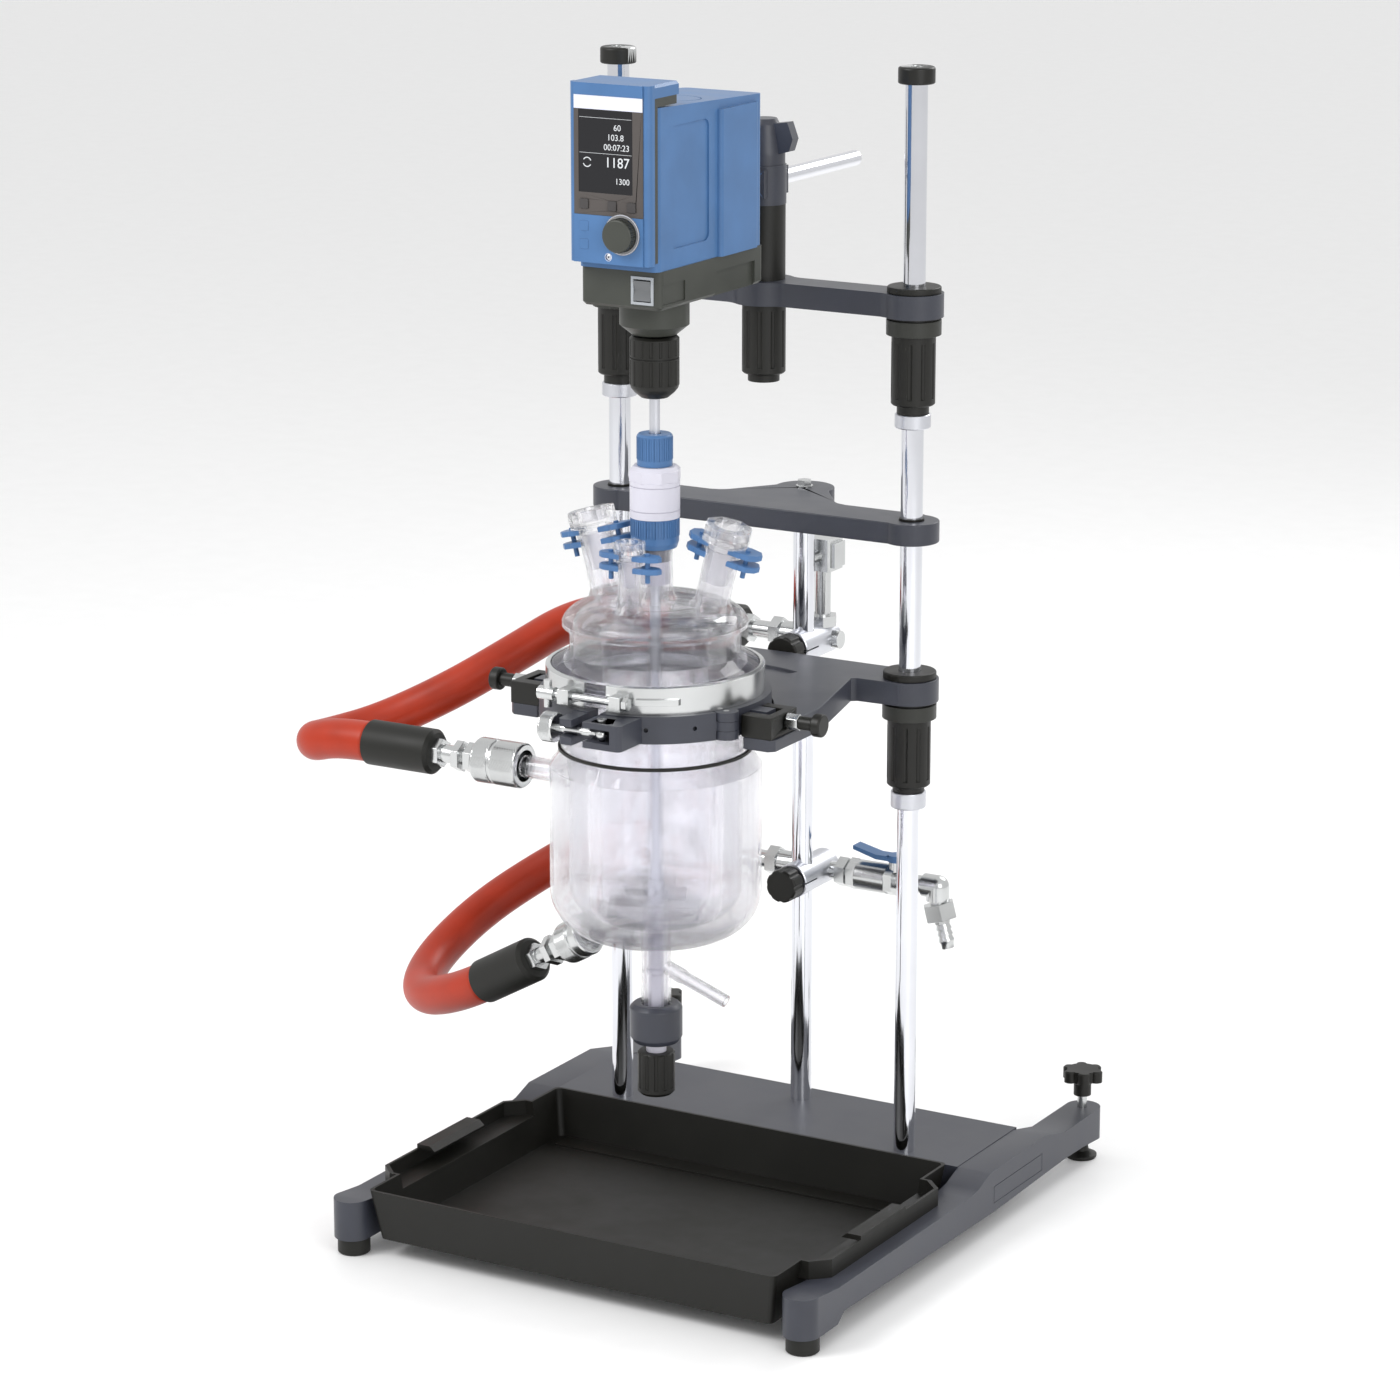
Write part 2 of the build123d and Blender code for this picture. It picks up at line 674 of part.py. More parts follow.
def button_places():
    return [(-25.6, 1036.0), (4.2, 1035.5), (24.6, 1035.3)]


def key_places():
    return [(-25.7, 1015.5), (-25.8, 999.0)]


def head_panel():
    panel = block(-PANEL_X, PANEL_X, HOOD_FRONT + 0.5, HOOD_FRONT + 3.5, PANEL_Z0, PANEL_Z1)
    panel = panel - block(DISPLAY_X0, DISPLAY_X1, HOOD_FRONT - 1, HOOD_FRONT + 2, DISPLAY_Z0, DISPLAY_Z1)
    for x, z in button_places():
        panel = panel - key_shape(BUTTON_W + 2 * RUN, x, z, HOOD_FRONT - 1, HOOD_FRONT + 5)
    return panel


def display():
    return block(DISPLAY_X0, DISPLAY_X1, HOOD_FRONT + 0.8, HOOD_FRONT + 2, DISPLAY_Z0, DISPLAY_Z1)


def button(x, z, width, proud, depth=5.5):
    cap = key_shape(width, x, z, HOOD_FRONT - proud, HOOD_FRONT + depth)
    return chamfer(cap.edges().group_by(Axis.Y)[0], 0.3)


def control_knob():
    knob = along_y(DIAL_R, HOOD_FRONT - 11, HOOD_FRONT - 1, DIAL_X, DIAL_Z)
    knob = fillet(knob.edges().group_by(Axis.Y)[0], 2.0)
    for i in range(24):
        angle = math.radians(15 * i)
        x = DIAL_X + (DIAL_R + 0.2) * math.cos(angle)
        z = DIAL_Z + (DIAL_R + 0.2) * math.sin(angle)
        knob = knob - along_y(0.7, HOOD_FRONT - 9.5, HOOD_FRONT, x, z)
    stem = along_y(4, HOOD_FRONT - 2, HOOD_FRONT + 6, DIAL_X, DIAL_Z)
    return knob + stem


def knob_ring():
    ring = along_y(DIAL_R + 3.5, HOOD_FRONT - 0.8, HOOD_FRONT, DIAL_X, DIAL_Z)
    return ring - along_y(DIAL_R + SEAT, HOOD_FRONT - 2, HOOD_FRONT + 1, DIAL_X, DIAL_Z)


def rocker_frame():
    frame = block(ROCKER_X0, ROCKER_X1, LOWER_FRONT - 1.2, LOWER_FRONT + 12, ROCKER_Z0, ROCKER_Z1)
    rim = ROCKER_RIM
    return frame - block(ROCKER_X0 + rim, ROCKER_X1 - rim, LOWER_FRONT - 2, LOWER_FRONT + 10.5,
                         ROCKER_Z0 + rim, ROCKER_Z1 - rim)


def rocker():
    inset = ROCKER_RIM + SEAT
    half = (ROCKER_Z1 - ROCKER_Z0) / 2 - ROCKER_RIM - 1.2
    middle = (ROCKER_Z0 + ROCKER_Z1) / 2
    wedge = [(-half, -2.2), (0, 0.4), (half, -2.2), (half, 2), (0, 7), (-half, 2)]
    points = [(ROCKER_X0 + inset, LOWER_FRONT + y, middle + z) for z, y in wedge]
    width = ROCKER_X1 - ROCKER_X0 - 2 * inset
    body = extrude(make_face(Polyline(*points, close=True)), width, dir=(1, 0, 0))
    return body + along_x(ROCKER_PIVOT_R, ROCKER_X0 + inset, ROCKER_X0 + inset + width, LOWER_FRONT + 7,
                          middle)


def chuck():
    body = disc(CHUCK_R, CHUCK_Z0 + 13, CHUCK_Z1 - 1)
    body = chamfer(body.edges().group_by(Axis.Z)[-1], 2.0)
    nose = spun([(0, CHUCK_Z0), (8.5, CHUCK_Z0), (13, CHUCK_Z0 + 1), (19, CHUCK_Z0 + 6),
                 (22.2, CHUCK_Z0 + 10),
                 (CHUCK_R, CHUCK_Z0 + 14), (0, CHUCK_Z0 + 14)])
    body = body + nose
    for i in range(16):
        angle = math.radians(22.5 * i)
        x = (CHUCK_R + 1.0) * math.cos(angle)
        y = (CHUCK_R + 1.0) * math.sin(angle)
        body = body - disc(1.9, CHUCK_Z0 + 14, 882, x, y)
        body = body - disc(1.9, 886, 901, x, y)
    groove = disc(CHUCK_R + 1, 883.4, 884.6) - disc(CHUCK_R - 1, 880, 890)
    body = body - groove + disc(8.9, CHUCK_Z1 - 2, BOSS_Z0 + 15)
    body = body - disc(SHAFT_R, CHUCK_Z0 - 1, CHUCK_Z1 - 10)
    return at(0, AXIS_Y, 0) * body


def stirrer_shaft():
    shaft = disc(SHAFT_R, IMPELLER_Z0, CHUCK_Z1 - 10)
    hub = disc(8, IMPELLER_Z0, IMPELLER_Z0 + 24)
    parts = [shaft + hub]
    for i in range(4):
        blade = at(IMPELLER_R / 2 + 3, 0, IMPELLER_Z0 + 11) * Rotation(45, 0, 0) * Box(IMPELLER_R - 6, 14,
                                                                                       2)
        parts.append(Rotation(0, 0, 90 * i + 20) * blade)
    return at(0, AXIS_Y, 0) * joined(parts)


# Vessel carrier
def carrier_plate():
    points = [(-ROD_X, 96), (ROD_X, 96), (ROD_X, 39.5), (122, 38), (117, 34), (ARM_X1, -80),
              (ARM_X1, ARM_FRONT + 5),
              (ARM_X1 - 5, ARM_FRONT), (ARM_X0, ARM_FRONT), (ARM_X0, AXIS_Y), (-ARM_X0, AXIS_Y),
              (-ARM_X0, ARM_FRONT), (5 - ARM_X1, ARM_FRONT), (-ARM_X1, ARM_FRONT + 5), (-ARM_X1, -80),
              (-117, 34),
              (-122, 38), (-ROD_X, 39.5)]
    plate = prism(points, CARRIER_Z0, CARRIER_Z1)
    for side in (-1, 1):
        plate = plate + disc(HUB_R, CARRIER_Z0, CARRIER_Z1, side * ROD_X, ROD_Y)
    plate = plate - disc(CUTOUT_R, CARRIER_Z0 - 1, CARRIER_Z1 + 1, 0, AXIS_Y)
    for side in (-1, 1):
        plate = plate - disc(ROD_R + SLIDE, CARRIER_Z0 - 1, CARRIER_Z1 + 1, side * ROD_X, ROD_Y)
        plate = plate - block(min(side * 105, side * 150), max(side * 105, side * 150), -180, -121,
                              BLOCK_Z0, 560)
    ring = disc(181, CARRIER_Z1 - 2.5, CARRIER_Z1 + 1, 0, AXIS_Y) - disc(163, 500, 600, 0, AXIS_Y)
    reach = 181 * math.tan(math.radians(20))
    wedge = prism([(0, AXIS_Y), (reach, AXIS_Y + 190), (-reach, AXIS_Y + 190)], CARRIER_Z0, CARRIER_Z1 + 2)
    return plate - (ring & wedge)


def holder_blocks():
    parts = []
    for side in (-1, 1):
        body = block(HOLDER_R1 + 0.6, 143, ARM_FRONT, -121, BLOCK_Z0, BLOCK_Z1)
        body = body - block(100, 134, -158, -132, BLOCK_Z0 + 3, BLOCK_Z1 + 1)
        body = body - along_x(3.0, 130, 150, PLUNGER_Y, PLUNGER_Z)
        parts.append(body if side > 0 else mirror(body, Plane.YZ))
    return group(parts)


def plunger_housings():
    parts = []
    for side in (-1, 1):
        nut = at(143, PLUNGER_Y, PLUNGER_Z) * Rotation(0, 90, 0) * extrude(RegularPolygon(8.1, 6), 14)
        nut = nut - along_x(3.0, 140, 160, PLUNGER_Y, PLUNGER_Z)
        parts.append(nut if side > 0 else mirror(nut, Plane.YZ))
    return group(parts)


def plunger(side):
    pin = along_x(3.0 - RUN, 128, 166, PLUNGER_Y, PLUNGER_Z)
    neck = along_x(6.5, 157.6, 172, PLUNGER_Y, PLUNGER_Z)
    head = along_x(11, 172, 182, PLUNGER_Y, PLUNGER_Z)
    head = fillet(head.edges().group_by(Axis.X)[-1] + head.edges().group_by(Axis.X)[0], 2.0)
    body = neck + head
    if side < 0:
        return mirror(body, Plane.YZ), mirror(pin, Plane.YZ)
    return body, pin


def holder_raw():
    ring = disc(HOLDER_R1, HOLDER_Z0, HOLDER_Z1, 0, AXIS_Y) - disc(HOLDER_R0, 500, 600, 0, AXIS_Y)
    return ring


def hinge_zone(z0, z1, r):
    return disc(r, z0, z1, HINGE_X, HINGE_Y)


def holder_ring():
    ring = holder_raw()
    cut = prism([(LUG_SPLIT, AXIS_Y), (SPLIT_LINE_X, AXIS_Y), (200, AXIS_Y - 80.8), (200, -330),
                 (LUG_SPLIT, -330)], 500, 620)
    ring = ring - cut
    ears = hinge_zone(HOLDER_Z0, HOLDER_Z1, EAR_R) - disc(HOLDER_R0, 500, 600, 0, AXIS_Y)
    ring = ring + ears - hinge_zone(EAR_Z0, EAR_Z1, EAR_R + 1.0)
    ring = ring - hinge_zone(500, 600, 3.0)
    lug = block(LUG_X0, LUG_SPLIT, LUG_FRONT, AXIS_Y - 100, BOLT_Z - 12.5, BOLT_Z + 12)
    lug = fillet(lug.edges().filter_by(Axis.Z).group_by(Axis.Y)[0].sort_by(Axis.X)[0], 4)
    slot = block(LUG_X0 - 1, LUG_SPLIT + 1, LUG_FRONT - 1, BOLT_Y + 8, BOLT_Z - 5, BOLT_Z + 5)
    ring = ring + (lug - disc(HOLDER_R0 + 1, 500, 600, 0, AXIS_Y)) - slot
    for side in (-1, 1):
        tongue = block(HOLDER_R1 - 2, 128 - RUN, -152, -135, HOLDER_Z0 + 4, BLOCK_Z1)
        tongue = tongue - disc(HOLDER_R0 + 4, 500, 600, 0, AXIS_Y)
        ring = ring + (tongue if side > 0 else mirror(tongue, Plane.YZ))
    return ring


def ring_segment():
    ring = holder_raw() & prism([(SPLIT_LINE_X, AXIS_Y), (200, AXIS_Y - 82.6), (200, -330),
                                 (SPLIT_LINE_X, -330)], 500, 620)
    ring = ring & block(SEGMENT_X0, 200, -330, AXIS_Y, 500, 620)
    knuckle = hinge_zone(EAR_Z0 + SEAT, EAR_Z1 - SEAT, EAR_R) - disc(HOLDER_R0, 500, 600, 0, AXIS_Y)
    ring = ring - hinge_zone(500, EAR_Z0 + SEAT, EAR_R + 1.0) - hinge_zone(EAR_Z1 - SEAT, 600, EAR_R + 1.0)
    ring = ring + knuckle
    ring = ring - hinge_zone(500, 600, 3.0)
    lug = block(SEGMENT_X0, LUG_X1, LUG_FRONT, AXIS_Y - 96, BOLT_Z - 12.5, BOLT_Z + 12)
    lug = fillet(lug.edges().filter_by(Axis.Z).group_by(Axis.Y)[0].sort_by(Axis.X)[-1], 5)
    lug = lug - disc(HOLDER_R0 + 1, 500, 600, 0, AXIS_Y)
    slot = block(SEGMENT_X0 - 1, 34, LUG_FRONT - 1, BOLT_Y + 14, BOLT_Z - 6.5, BOLT_Z + 6.5)
    ring = ring + lug - slot
    for degrees in SEGMENT_HOLES:
        turn = math.radians(degrees)
        outward = (math.sin(turn), -math.cos(turn), 0.0)
        rim = (HOLDER_R1 * outward[0], AXIS_Y + HOLDER_R1 * outward[1], BOLT_Z)
        ring = ring - placed(disc(SEGMENT_HOLE_R, -SEGMENT_HOLE_DEPTH, 1), rim, outward)
    return ring - disc(2.5, BOLT_Z - 9, 600, BOLT_X, BOLT_Y)


def hinge_pin():
    return disc(3.0 - RUN, HOLDER_Z0 + 1, HOLDER_Z1, HINGE_X, HINGE_Y)


def bolt_pivot():
    pin = disc(2.5, BOLT_Z - 9, BOLT_Z + 12, BOLT_X, BOLT_Y)
    head = disc(4.5, BOLT_Z + 12, BOLT_Z + 14.5, BOLT_X, BOLT_Y) - hexagon(4, BOLT_Z + 13, BOLT_Z + 16,
                                                                           BOLT_X, BOLT_Y)
    return pin + head


def swing_bolt():
    eye = at(BOLT_X, BOLT_Y, BOLT_Z) * Sphere(6.2)
    shank = along_x(3.5, LUG_X0 - NUT_GAP - NUT_LEN - 2.5, BOLT_X - 3, BOLT_Y, BOLT_Z)
    return eye + shank - disc(2.5 + RUN, 500, 600, BOLT_X, BOLT_Y)


def thumb_nut():
    inner_face = LUG_X0 - NUT_GAP
    nut = along_x(THUMB_R, inner_face - NUT_LEN, inner_face, BOLT_Y, BOLT_Z)
    nut = chamfer(nut.edges().group_by(Axis.X)[0] + nut.edges().group_by(Axis.X)[-1], 1.0)
    return nut - along_x(3.5 + RUN, inner_face - NUT_LEN - 5, inner_face + 5, BOLT_Y, BOLT_Z)


# Glass
def glass_vessel():
    # Outer skin: flange, neck, jacket and drain neck turned as one
    r_bottom = 45.0
    with BuildPart() as outer:
        with BuildSketch(Plane.XZ):
            with BuildLine():
                Polyline((0, GASKET_Z0), (FLANGE_R, GASKET_Z0), (FLANGE_R, VESSEL_FLANGE_Z0),
                         (NECK_GLASS_R + 2, VESSEL_FLANGE_Z0), (NECK_GLASS_R, VESSEL_FLANGE_Z0 - 4),
                         (NECK_GLASS_R, ORING_Z0), (JACKET_R, JACKET_SHOULDER),
                         (JACKET_R, JACKET_STRAIGHT))
                RadiusArc((JACKET_R, JACKET_STRAIGHT), (JACKET_R - r_bottom, JACKET_BOTTOM), r_bottom)
                Polyline((JACKET_R - r_bottom, JACKET_BOTTOM), (DRAIN_R, JACKET_BOTTOM),
                         (DRAIN_R, DRAIN_Z0),
                         (0, DRAIN_Z0), (0, GASKET_Z0))
            make_face()
        revolve(axis=Axis.Z)
    body = outer.part
    cavity_r = INNER_R - WALL
    r_in = 35.0 - WALL
    with BuildPart() as cavity:
        with BuildSketch(Plane.XZ):
            with BuildLine():
                z_floor = INNER_BOTTOM + WALL
                Polyline((0, z_floor), (cavity_r - r_in, z_floor))
                RadiusArc((cavity_r - r_in, z_floor), (cavity_r, z_floor + r_in), -r_in)
                Polyline((cavity_r, z_floor + r_in), (cavity_r, GASKET_Z0 + 1), (0, GASKET_Z0 + 1),
                         (0, z_floor))
            make_face()
        revolve(axis=Axis.Z)
    body = body - cavity.part
    r_j = 35.0
    out_r = JACKET_R - WALL
    z_under = JACKET_BOTTOM + WALL
    corner = r_bottom - WALL
    with BuildPart() as jacket:
        with BuildSketch(Plane.XZ):
            with BuildLine():
                Polyline((DRAIN_R + 1.0, z_under), (out_r - corner, z_under))
                RadiusArc((out_r - corner, z_under), (out_r, z_under + corner), -corner)
                Polyline((out_r, z_under + corner), (out_r, JACKET_SHOULDER - 1),
                         (NECK_GLASS_R - WALL, ORING_Z0 - 3),
                         (NECK_GLASS_R - WALL, VESSEL_FLANGE_Z0 - 10), (INNER_R, VESSEL_FLANGE_Z0 - 13),
                         (INNER_R, INNER_BOTTOM + r_j))
                RadiusArc((INNER_R, INNER_BOTTOM + r_j), (INNER_R - r_j, INNER_BOTTOM), r_j)
                Polyline((INNER_R - r_j, INNER_BOTTOM), (DRAIN_R + 1.0, INNER_BOTTOM),
                         (DRAIN_R + 1.0, z_under))
            make_face()
        revolve(axis=Axis.Z)
    body = body - jacket.part
    body = body - disc(DRAIN_BORE_R, DRAIN_Z0 - 1, INNER_BOTTOM)
    body = body - disc(SPINDLE_R + RUN, INNER_BOTTOM - 5, INNER_BOTTOM + 20)
    body = at(0, AXIS_Y, 0) * body
    for line, length in ((nozzle_upper_line(), NOZZLE_LEN), (nozzle_lower_line(), LOWER_NOZZLE_LEN)):
        start, direction = line
        tube = placed(disc(NOZZLE_R, -4, length), start, direction)
        flare = placed(spun([(0, -4), (NOZZLE_R + 5, -4), (NOZZLE_R + 5, 2.5), (NOZZLE_R, 12), (0, 12)]),
                       start, direction)
        bore = placed(disc(NOZZLE_R - 2.4, -14, length + 1), start, direction)
        outside = (tube + flare if direction[2] == 0 else tube) - glass_core()
        body = body + outside - bore
    arm_start, arm_dir = drain_arm_line()
    arm = placed(spun([(0, 0), (ARM_ROOT_R, 0), (ARM_ROOT_R, ARM_ROOT_LEN), (SIDE_ARM_R, ARM_ROOT_LEN + 5),
                       (SIDE_ARM_R, SIDE_ARM_LEN), (0, SIDE_ARM_LEN)]), arm_start, arm_dir)
    arm = arm - disc(DRAIN_R - 1, 240, 320, 0, AXIS_Y)
    arm_bore = placed(disc(SIDE_ARM_R - 2, -4, SIDE_ARM_LEN + 2), arm_start, arm_dir)
    return body + arm - arm_bore


def glass_core():
    # Space inside the jacket skin, used to trim what is joined on from outside
    skin = 1.5
    corner = 45.0 - skin
    side = JACKET_R - skin
    floor = JACKET_BOTTOM + skin
    with BuildPart() as core:
        with BuildSketch(Plane.XZ):
            with BuildLine():
                Polyline((side - corner, floor), (0, floor), (0, 520), (side, 520), (side, floor + corner))
                RadiusArc((side, floor + corner), (side - corner, floor), corner)
            make_face()
        revolve(axis=Axis.Z)
    return at(0, AXIS_Y) * core.part


def nozzle_upper_line():
    return (-97.0, AXIS_Y, NOZZLE_Z), (-1.0, 0.0, 0.0)


def nozzle_lower_line():
    fall = math.radians(LOWER_ANGLE)
    turn = math.radians(LOWER_TURN)
    direction = (-math.cos(fall) * math.cos(turn), math.cos(fall) * math.sin(turn), -math.sin(fall))
    start = (-LOWER_START_R * math.cos(turn), AXIS_Y + LOWER_START_R * math.sin(turn), LOWER_START_Z)
    return start, direction


def drain_arm_line():
    angle = math.radians(19.7)
    return (8.0, AXIS_Y, 290.4), (math.cos(angle), 0.0, -math.sin(angle))


def glass_lid():
    bead = LID_BEAD_Z
    outline = [(FLANGE_R, LID_Z0), (FLANGE_R, LID_FLANGE_Z1), (FLANGE_R - 1, LID_FLANGE_Z1 + 2),
               (LID_R, LID_FLANGE_Z1 + 12), (LID_R, bead - 5), (LID_BEAD_R, bead - 2),
               (LID_BEAD_R, bead + 2)]
    with BuildPart() as outer:
        with BuildSketch(Plane.XZ):
            with BuildLine():
                Polyline((0, LID_Z0), *outline)
                Bezier((LID_BEAD_R, bead + 2), (LID_BEAD_R - 4, LID_TOP - 7.5),
                       (LID_BEAD_R - 22, LID_TOP - 2.5), (LID_CROWN_R, LID_TOP))
                Polyline((LID_CROWN_R, LID_TOP), (0, LID_TOP), (0, LID_Z0))
            make_face()
        revolve(axis=Axis.Z)
    inside_r = LID_R - LID_WALL
    inside_top = LID_TOP - LID_WALL
    with BuildPart() as inner:
        with BuildSketch(Plane.XZ):
            with BuildLine():
                Polyline((0, LID_Z0 - 1), (inside_r, LID_Z0 - 1), (inside_r, bead - 4))
                Bezier((inside_r, bead - 4), (LID_BEAD_R - 10, inside_top - 8.5),
                       (LID_BEAD_R - 24, inside_top - 2.5), (LID_CROWN_R - 2, inside_top))
                Polyline((LID_CROWN_R - 2, inside_top), (0, inside_top), (0, LID_Z0 - 1))
            make_face()
        revolve(axis=Axis.Z)
    body = at(0, AXIS_Y, 0) * (outer.part - inner.part)
    body = body + neck_solid(CENTRE_NECK_R, LID_TOP - 2, CENTRE_NECK_Z1, 0, AXIS_Y)
    body = body + neck_solid(FRONT_NECK_R, LID_TOP - 6, FRONT_NECK_Z1, FRONT_NECK_X, FRONT_NECK_Y)
    for side in (-1, 1):
        body = body + side_neck(side, neck_solid(SIDE_NECK_R, -4, SIDE_NECK_LEN, 0, 0))
    body = body - disc(CENTRE_NECK_R - NECK_WALL, LID_TOP - 10, CENTRE_NECK_Z1 + 1, 0, AXIS_Y)
    body = body - disc(FRONT_NECK_R - NECK_WALL, LID_TOP - 14, FRONT_NECK_Z1 + 1, FRONT_NECK_X,
                       FRONT_NECK_Y)
    for side in (-1, 1):
        body = body - side_neck(side, disc(SIDE_NECK_R - NECK_WALL, -14, SIDE_NECK_LEN + 1))
    return body


def neck_solid(r, z0, z1, x, y):
    # Plain neck with a flare at the foot and a rim at the mouth
    points = [(0, z0), (r + 4, z0), (r + 4, z0 + 3), (r, z0 + 11), (r, z1 - 4), (r + 1.8, z1 - 2.5),
              (r + 1.8, z1), (0, z1)]
    return spun(points, x, y)


def side_neck(side, shape):
    direction = side_neck_direction(side)
    return placed(shape, (side * SIDE_NECK_X, SIDE_NECK_Y, LID_TOP - SIDE_NECK_SINK), direction)


def side_neck_direction(side):
    lean = math.radians(SIDE_NECK_LEAN)
    return (side * math.sin(lean), 0.0, math.cos(lean))


def stopper(r, length):
    # Hollow ground stopper with an octagonal head, drawn from the mouth of its neck at z = 0
    plug = spun([(0, -length), (r - NECK_WALL - 3.2, -length), (r - NECK_WALL - SEAT, -0.1),
                 (r - NECK_WALL - SEAT, 0),
                 (r - 0.5, 0.3), (r - 0.5, 6), (0, 6)])
    head = hexagon(2.6 * r, 6, 6 + 1.05 * r, sides=8)
    head = chamfer(head.edges().group_by(Axis.Z)[-1] + head.edges().group_by(Axis.Z)[0], 1.0)
    cup = disc(0.86 * r, 6 + 0.35 * r, 10 + 1.05 * r)
    return plug + head - cup


def clip(r, z_rim):
    # Two forks joined by two screws, open to the back
    forks = []
    for z, inner in ((z_rim - 11.0, r + SEAT), (z_rim + 0.6, r - 0.2)):
        fork = at(0, 0, z) * extrude(RectangleRounded(2 * r + 16, 1.5 * r, 3), CLIP_T)
        for side in (-1, 1):
            wing = prism([(side * (r + 4), -0.7 * r), (side * (r + 15), -0.62 * r),
                          (side * (r + 21), -0.2 * r),
                          (side * (r + 22), 0.3 * r), (side * (r + 17), 0.75 * r),
                          (side * (r + 4), 0.8 * r)],
                         z, z + CLIP_T)
            fork = fork + wing
        fork = chamfer(fork.edges().group_by(Axis.Z)[-1], 0.8)
        fork = fork - disc(inner, z - 1, z + CLIP_T + 1) - block(-inner, inner, 0, 2 * r, z - 1,
                                                                 z + CLIP_T + 1)
        forks.append(fork)
    for side in (-1, 1):
        forks.append(disc(2.4, z_rim - 20, z_rim + 8, side * (r + 9), -0.05 * r))
    return joined(forks)


def seal_nut():
    body = spun([(CENTRE_NECK_R + SEAT, CENTRE_NECK_Z1 - 8), (SEAL_NUT_R - 2, CENTRE_NECK_Z1 - 8),
                 (SEAL_NUT_R, CENTRE_NECK_Z1 - 2), (SEAL_NUT_R, SEAL_NUT_Z1),
                 (CENTRE_NECK_R + 2.2, SEAL_NUT_Z1),
                 (CENTRE_NECK_R + 2.2, CENTRE_NECK_Z1 - 4), (CENTRE_NECK_R + SEAT, CENTRE_NECK_Z1 - 5)])
    for i in range(18):
        angle = math.radians(20 * i)
        x = (SEAL_NUT_R + 0.4) * math.cos(angle)
        y = (SEAL_NUT_R + 0.4) * math.sin(angle)
        body = body - disc(0.9, CENTRE_NECK_Z1 + 3, SEAL_NUT_Z1 + 1, x, y)
    return at(0, AXIS_Y, 0) * body


def seal_body():
    lower = disc(CENTRE_NECK_R - NECK_WALL - SEAT, CENTRE_NECK_Z1 - SEAL_SLEEVE_LEN, CENTRE_NECK_Z1)
    collar = disc(CENTRE_NECK_R + 1.8, CENTRE_NECK_Z1, SEAL_NUT_Z1)
    barrel = disc(SEAL_BODY_R, SEAL_NUT_Z1, SEAL_BODY_Z1 - 14)
    crown = hexagon(2 * SEAL_BODY_R - 1.5, SEAL_BODY_Z1 - 14, SEAL_BODY_Z1, sides=8)
    crown = chamfer(crown.edges().group_by(Axis.Z)[-1], 3.5)
    neck = disc(11.5, SEAL_BODY_Z1 - 1, SEAL_BODY_Z1 + 16)
    body = lower + collar + barrel + crown + neck
    for z in (SEAL_NUT_Z1 + 7, SEAL_NUT_Z1 + 30):
        body = body - (disc(SEAL_BODY_R + 1, z, z + 0.9) - disc(SEAL_BODY_R - 0.9, z - 1, z + 2))
    return at(0, AXIS_Y, 0) * (body - disc(SHAFT_R + RUN, CENTRE_NECK_Z1 - SEAL_SLEEVE_LEN - 8,
                                           SEAL_CAP_Z1))


def seal_cap():
    body = disc(SEAL_CAP_R, SEAL_BODY_Z1 + 0.3, SEAL_CAP_Z1)
    body = chamfer(body.edges().group_by(Axis.Z)[-1], 1.5)
    for i in range(24):
        angle = math.radians(15 * i)
        x = (SEAL_CAP_R + 0.4) * math.cos(angle)
        y = (SEAL_CAP_R + 0.4) * math.sin(angle)
        body = body - disc(0.8, SEAL_BODY_Z1 + 6, SEAL_CAP_Z1 - 2.5, x, y)
    body = body - disc(11.5 + RUN, SEAL_BODY_Z1, SEAL_BODY_Z1 + 16.1)
    return at(0, AXIS_Y, 0) * (body - disc(SHAFT_R + 0.9, SEAL_BODY_Z1, SEAL_CAP_Z1 + 1))


def o_ring():
    ring = disc(NECK_GLASS_R + 3.0, ORING_Z0, ORING_Z1) - disc(NECK_GLASS_R, ORING_Z0 - 1, ORING_Z1 + 1)
    return at(0, AXIS_Y, 0) * ring


def gasket():
    ring = disc(FLANGE_R - 1, GASKET_Z0, GASKET_Z1) - disc(INNER_R - WALL, GASKET_Z0 - 1, GASKET_Z1 + 1)
    return at(0, AXIS_Y, 0) * ring


def clamp_band():
    band = spun([(FLANGE_R + SEAT, BAND_Z0 + BAND_T - 0.1), (FLANGE_R + SEAT, BAND_Z1),
                 (BAND_R - 3.2, BAND_Z1),
                 (BAND_R - 0.2, BAND_Z1 - 1), (BAND_R - 0.2, BAND_Z0), (FLANGE_R - 4, BAND_Z0),
                 (FLANGE_R - 4, BAND_Z0 + BAND_T - 0.1)])
    band = at(0, AXIS_Y, 0) * band
    gap = block(-16, 8, -260, -232, BAND_Z0 - 1, BAND_Z1 + 1)
    band = band - gap
    for x in (-32, 24):
        lug = block(x - 6, x + 6, CLAMP_Y - 7, -236, CLAMP_Z - 7, CLAMP_Z + 7)
        lug = lug - disc(FLANGE_R + 2, 500, 600, 0, AXIS_Y)
        band = band + (lug - along_x(3.6, x - 10, x + 10, CLAMP_Y, CLAMP_Z))
    strap = block(37.5, 72, -243, -205, CLAMP_Z - 3, CLAMP_Z + 3) & (
        disc(BAND_R + 3, CLAMP_Z - 3, CLAMP_Z + 3, 0, AXIS_Y) - disc(BAND_R - 2, 500, 600, 0, AXIS_Y))
    return band + strap


def clamp_screw():
    rod = along_x(3.5, -60, 36, CLAMP_Y, CLAMP_Z)
    nut = at(30.5, CLAMP_Y, CLAMP_Z) * Rotation(0, 90, 0) * extrude(RegularPolygon(6.5, 6), 5)
    bar = disc(4.0, CLAMP_Z - 13, CLAMP_Z + 13, -52, CLAMP_Y)
    hub = along_x(6.5, -61, -44, CLAMP_Y, CLAMP_Z)
    return rod + nut + bar + hub


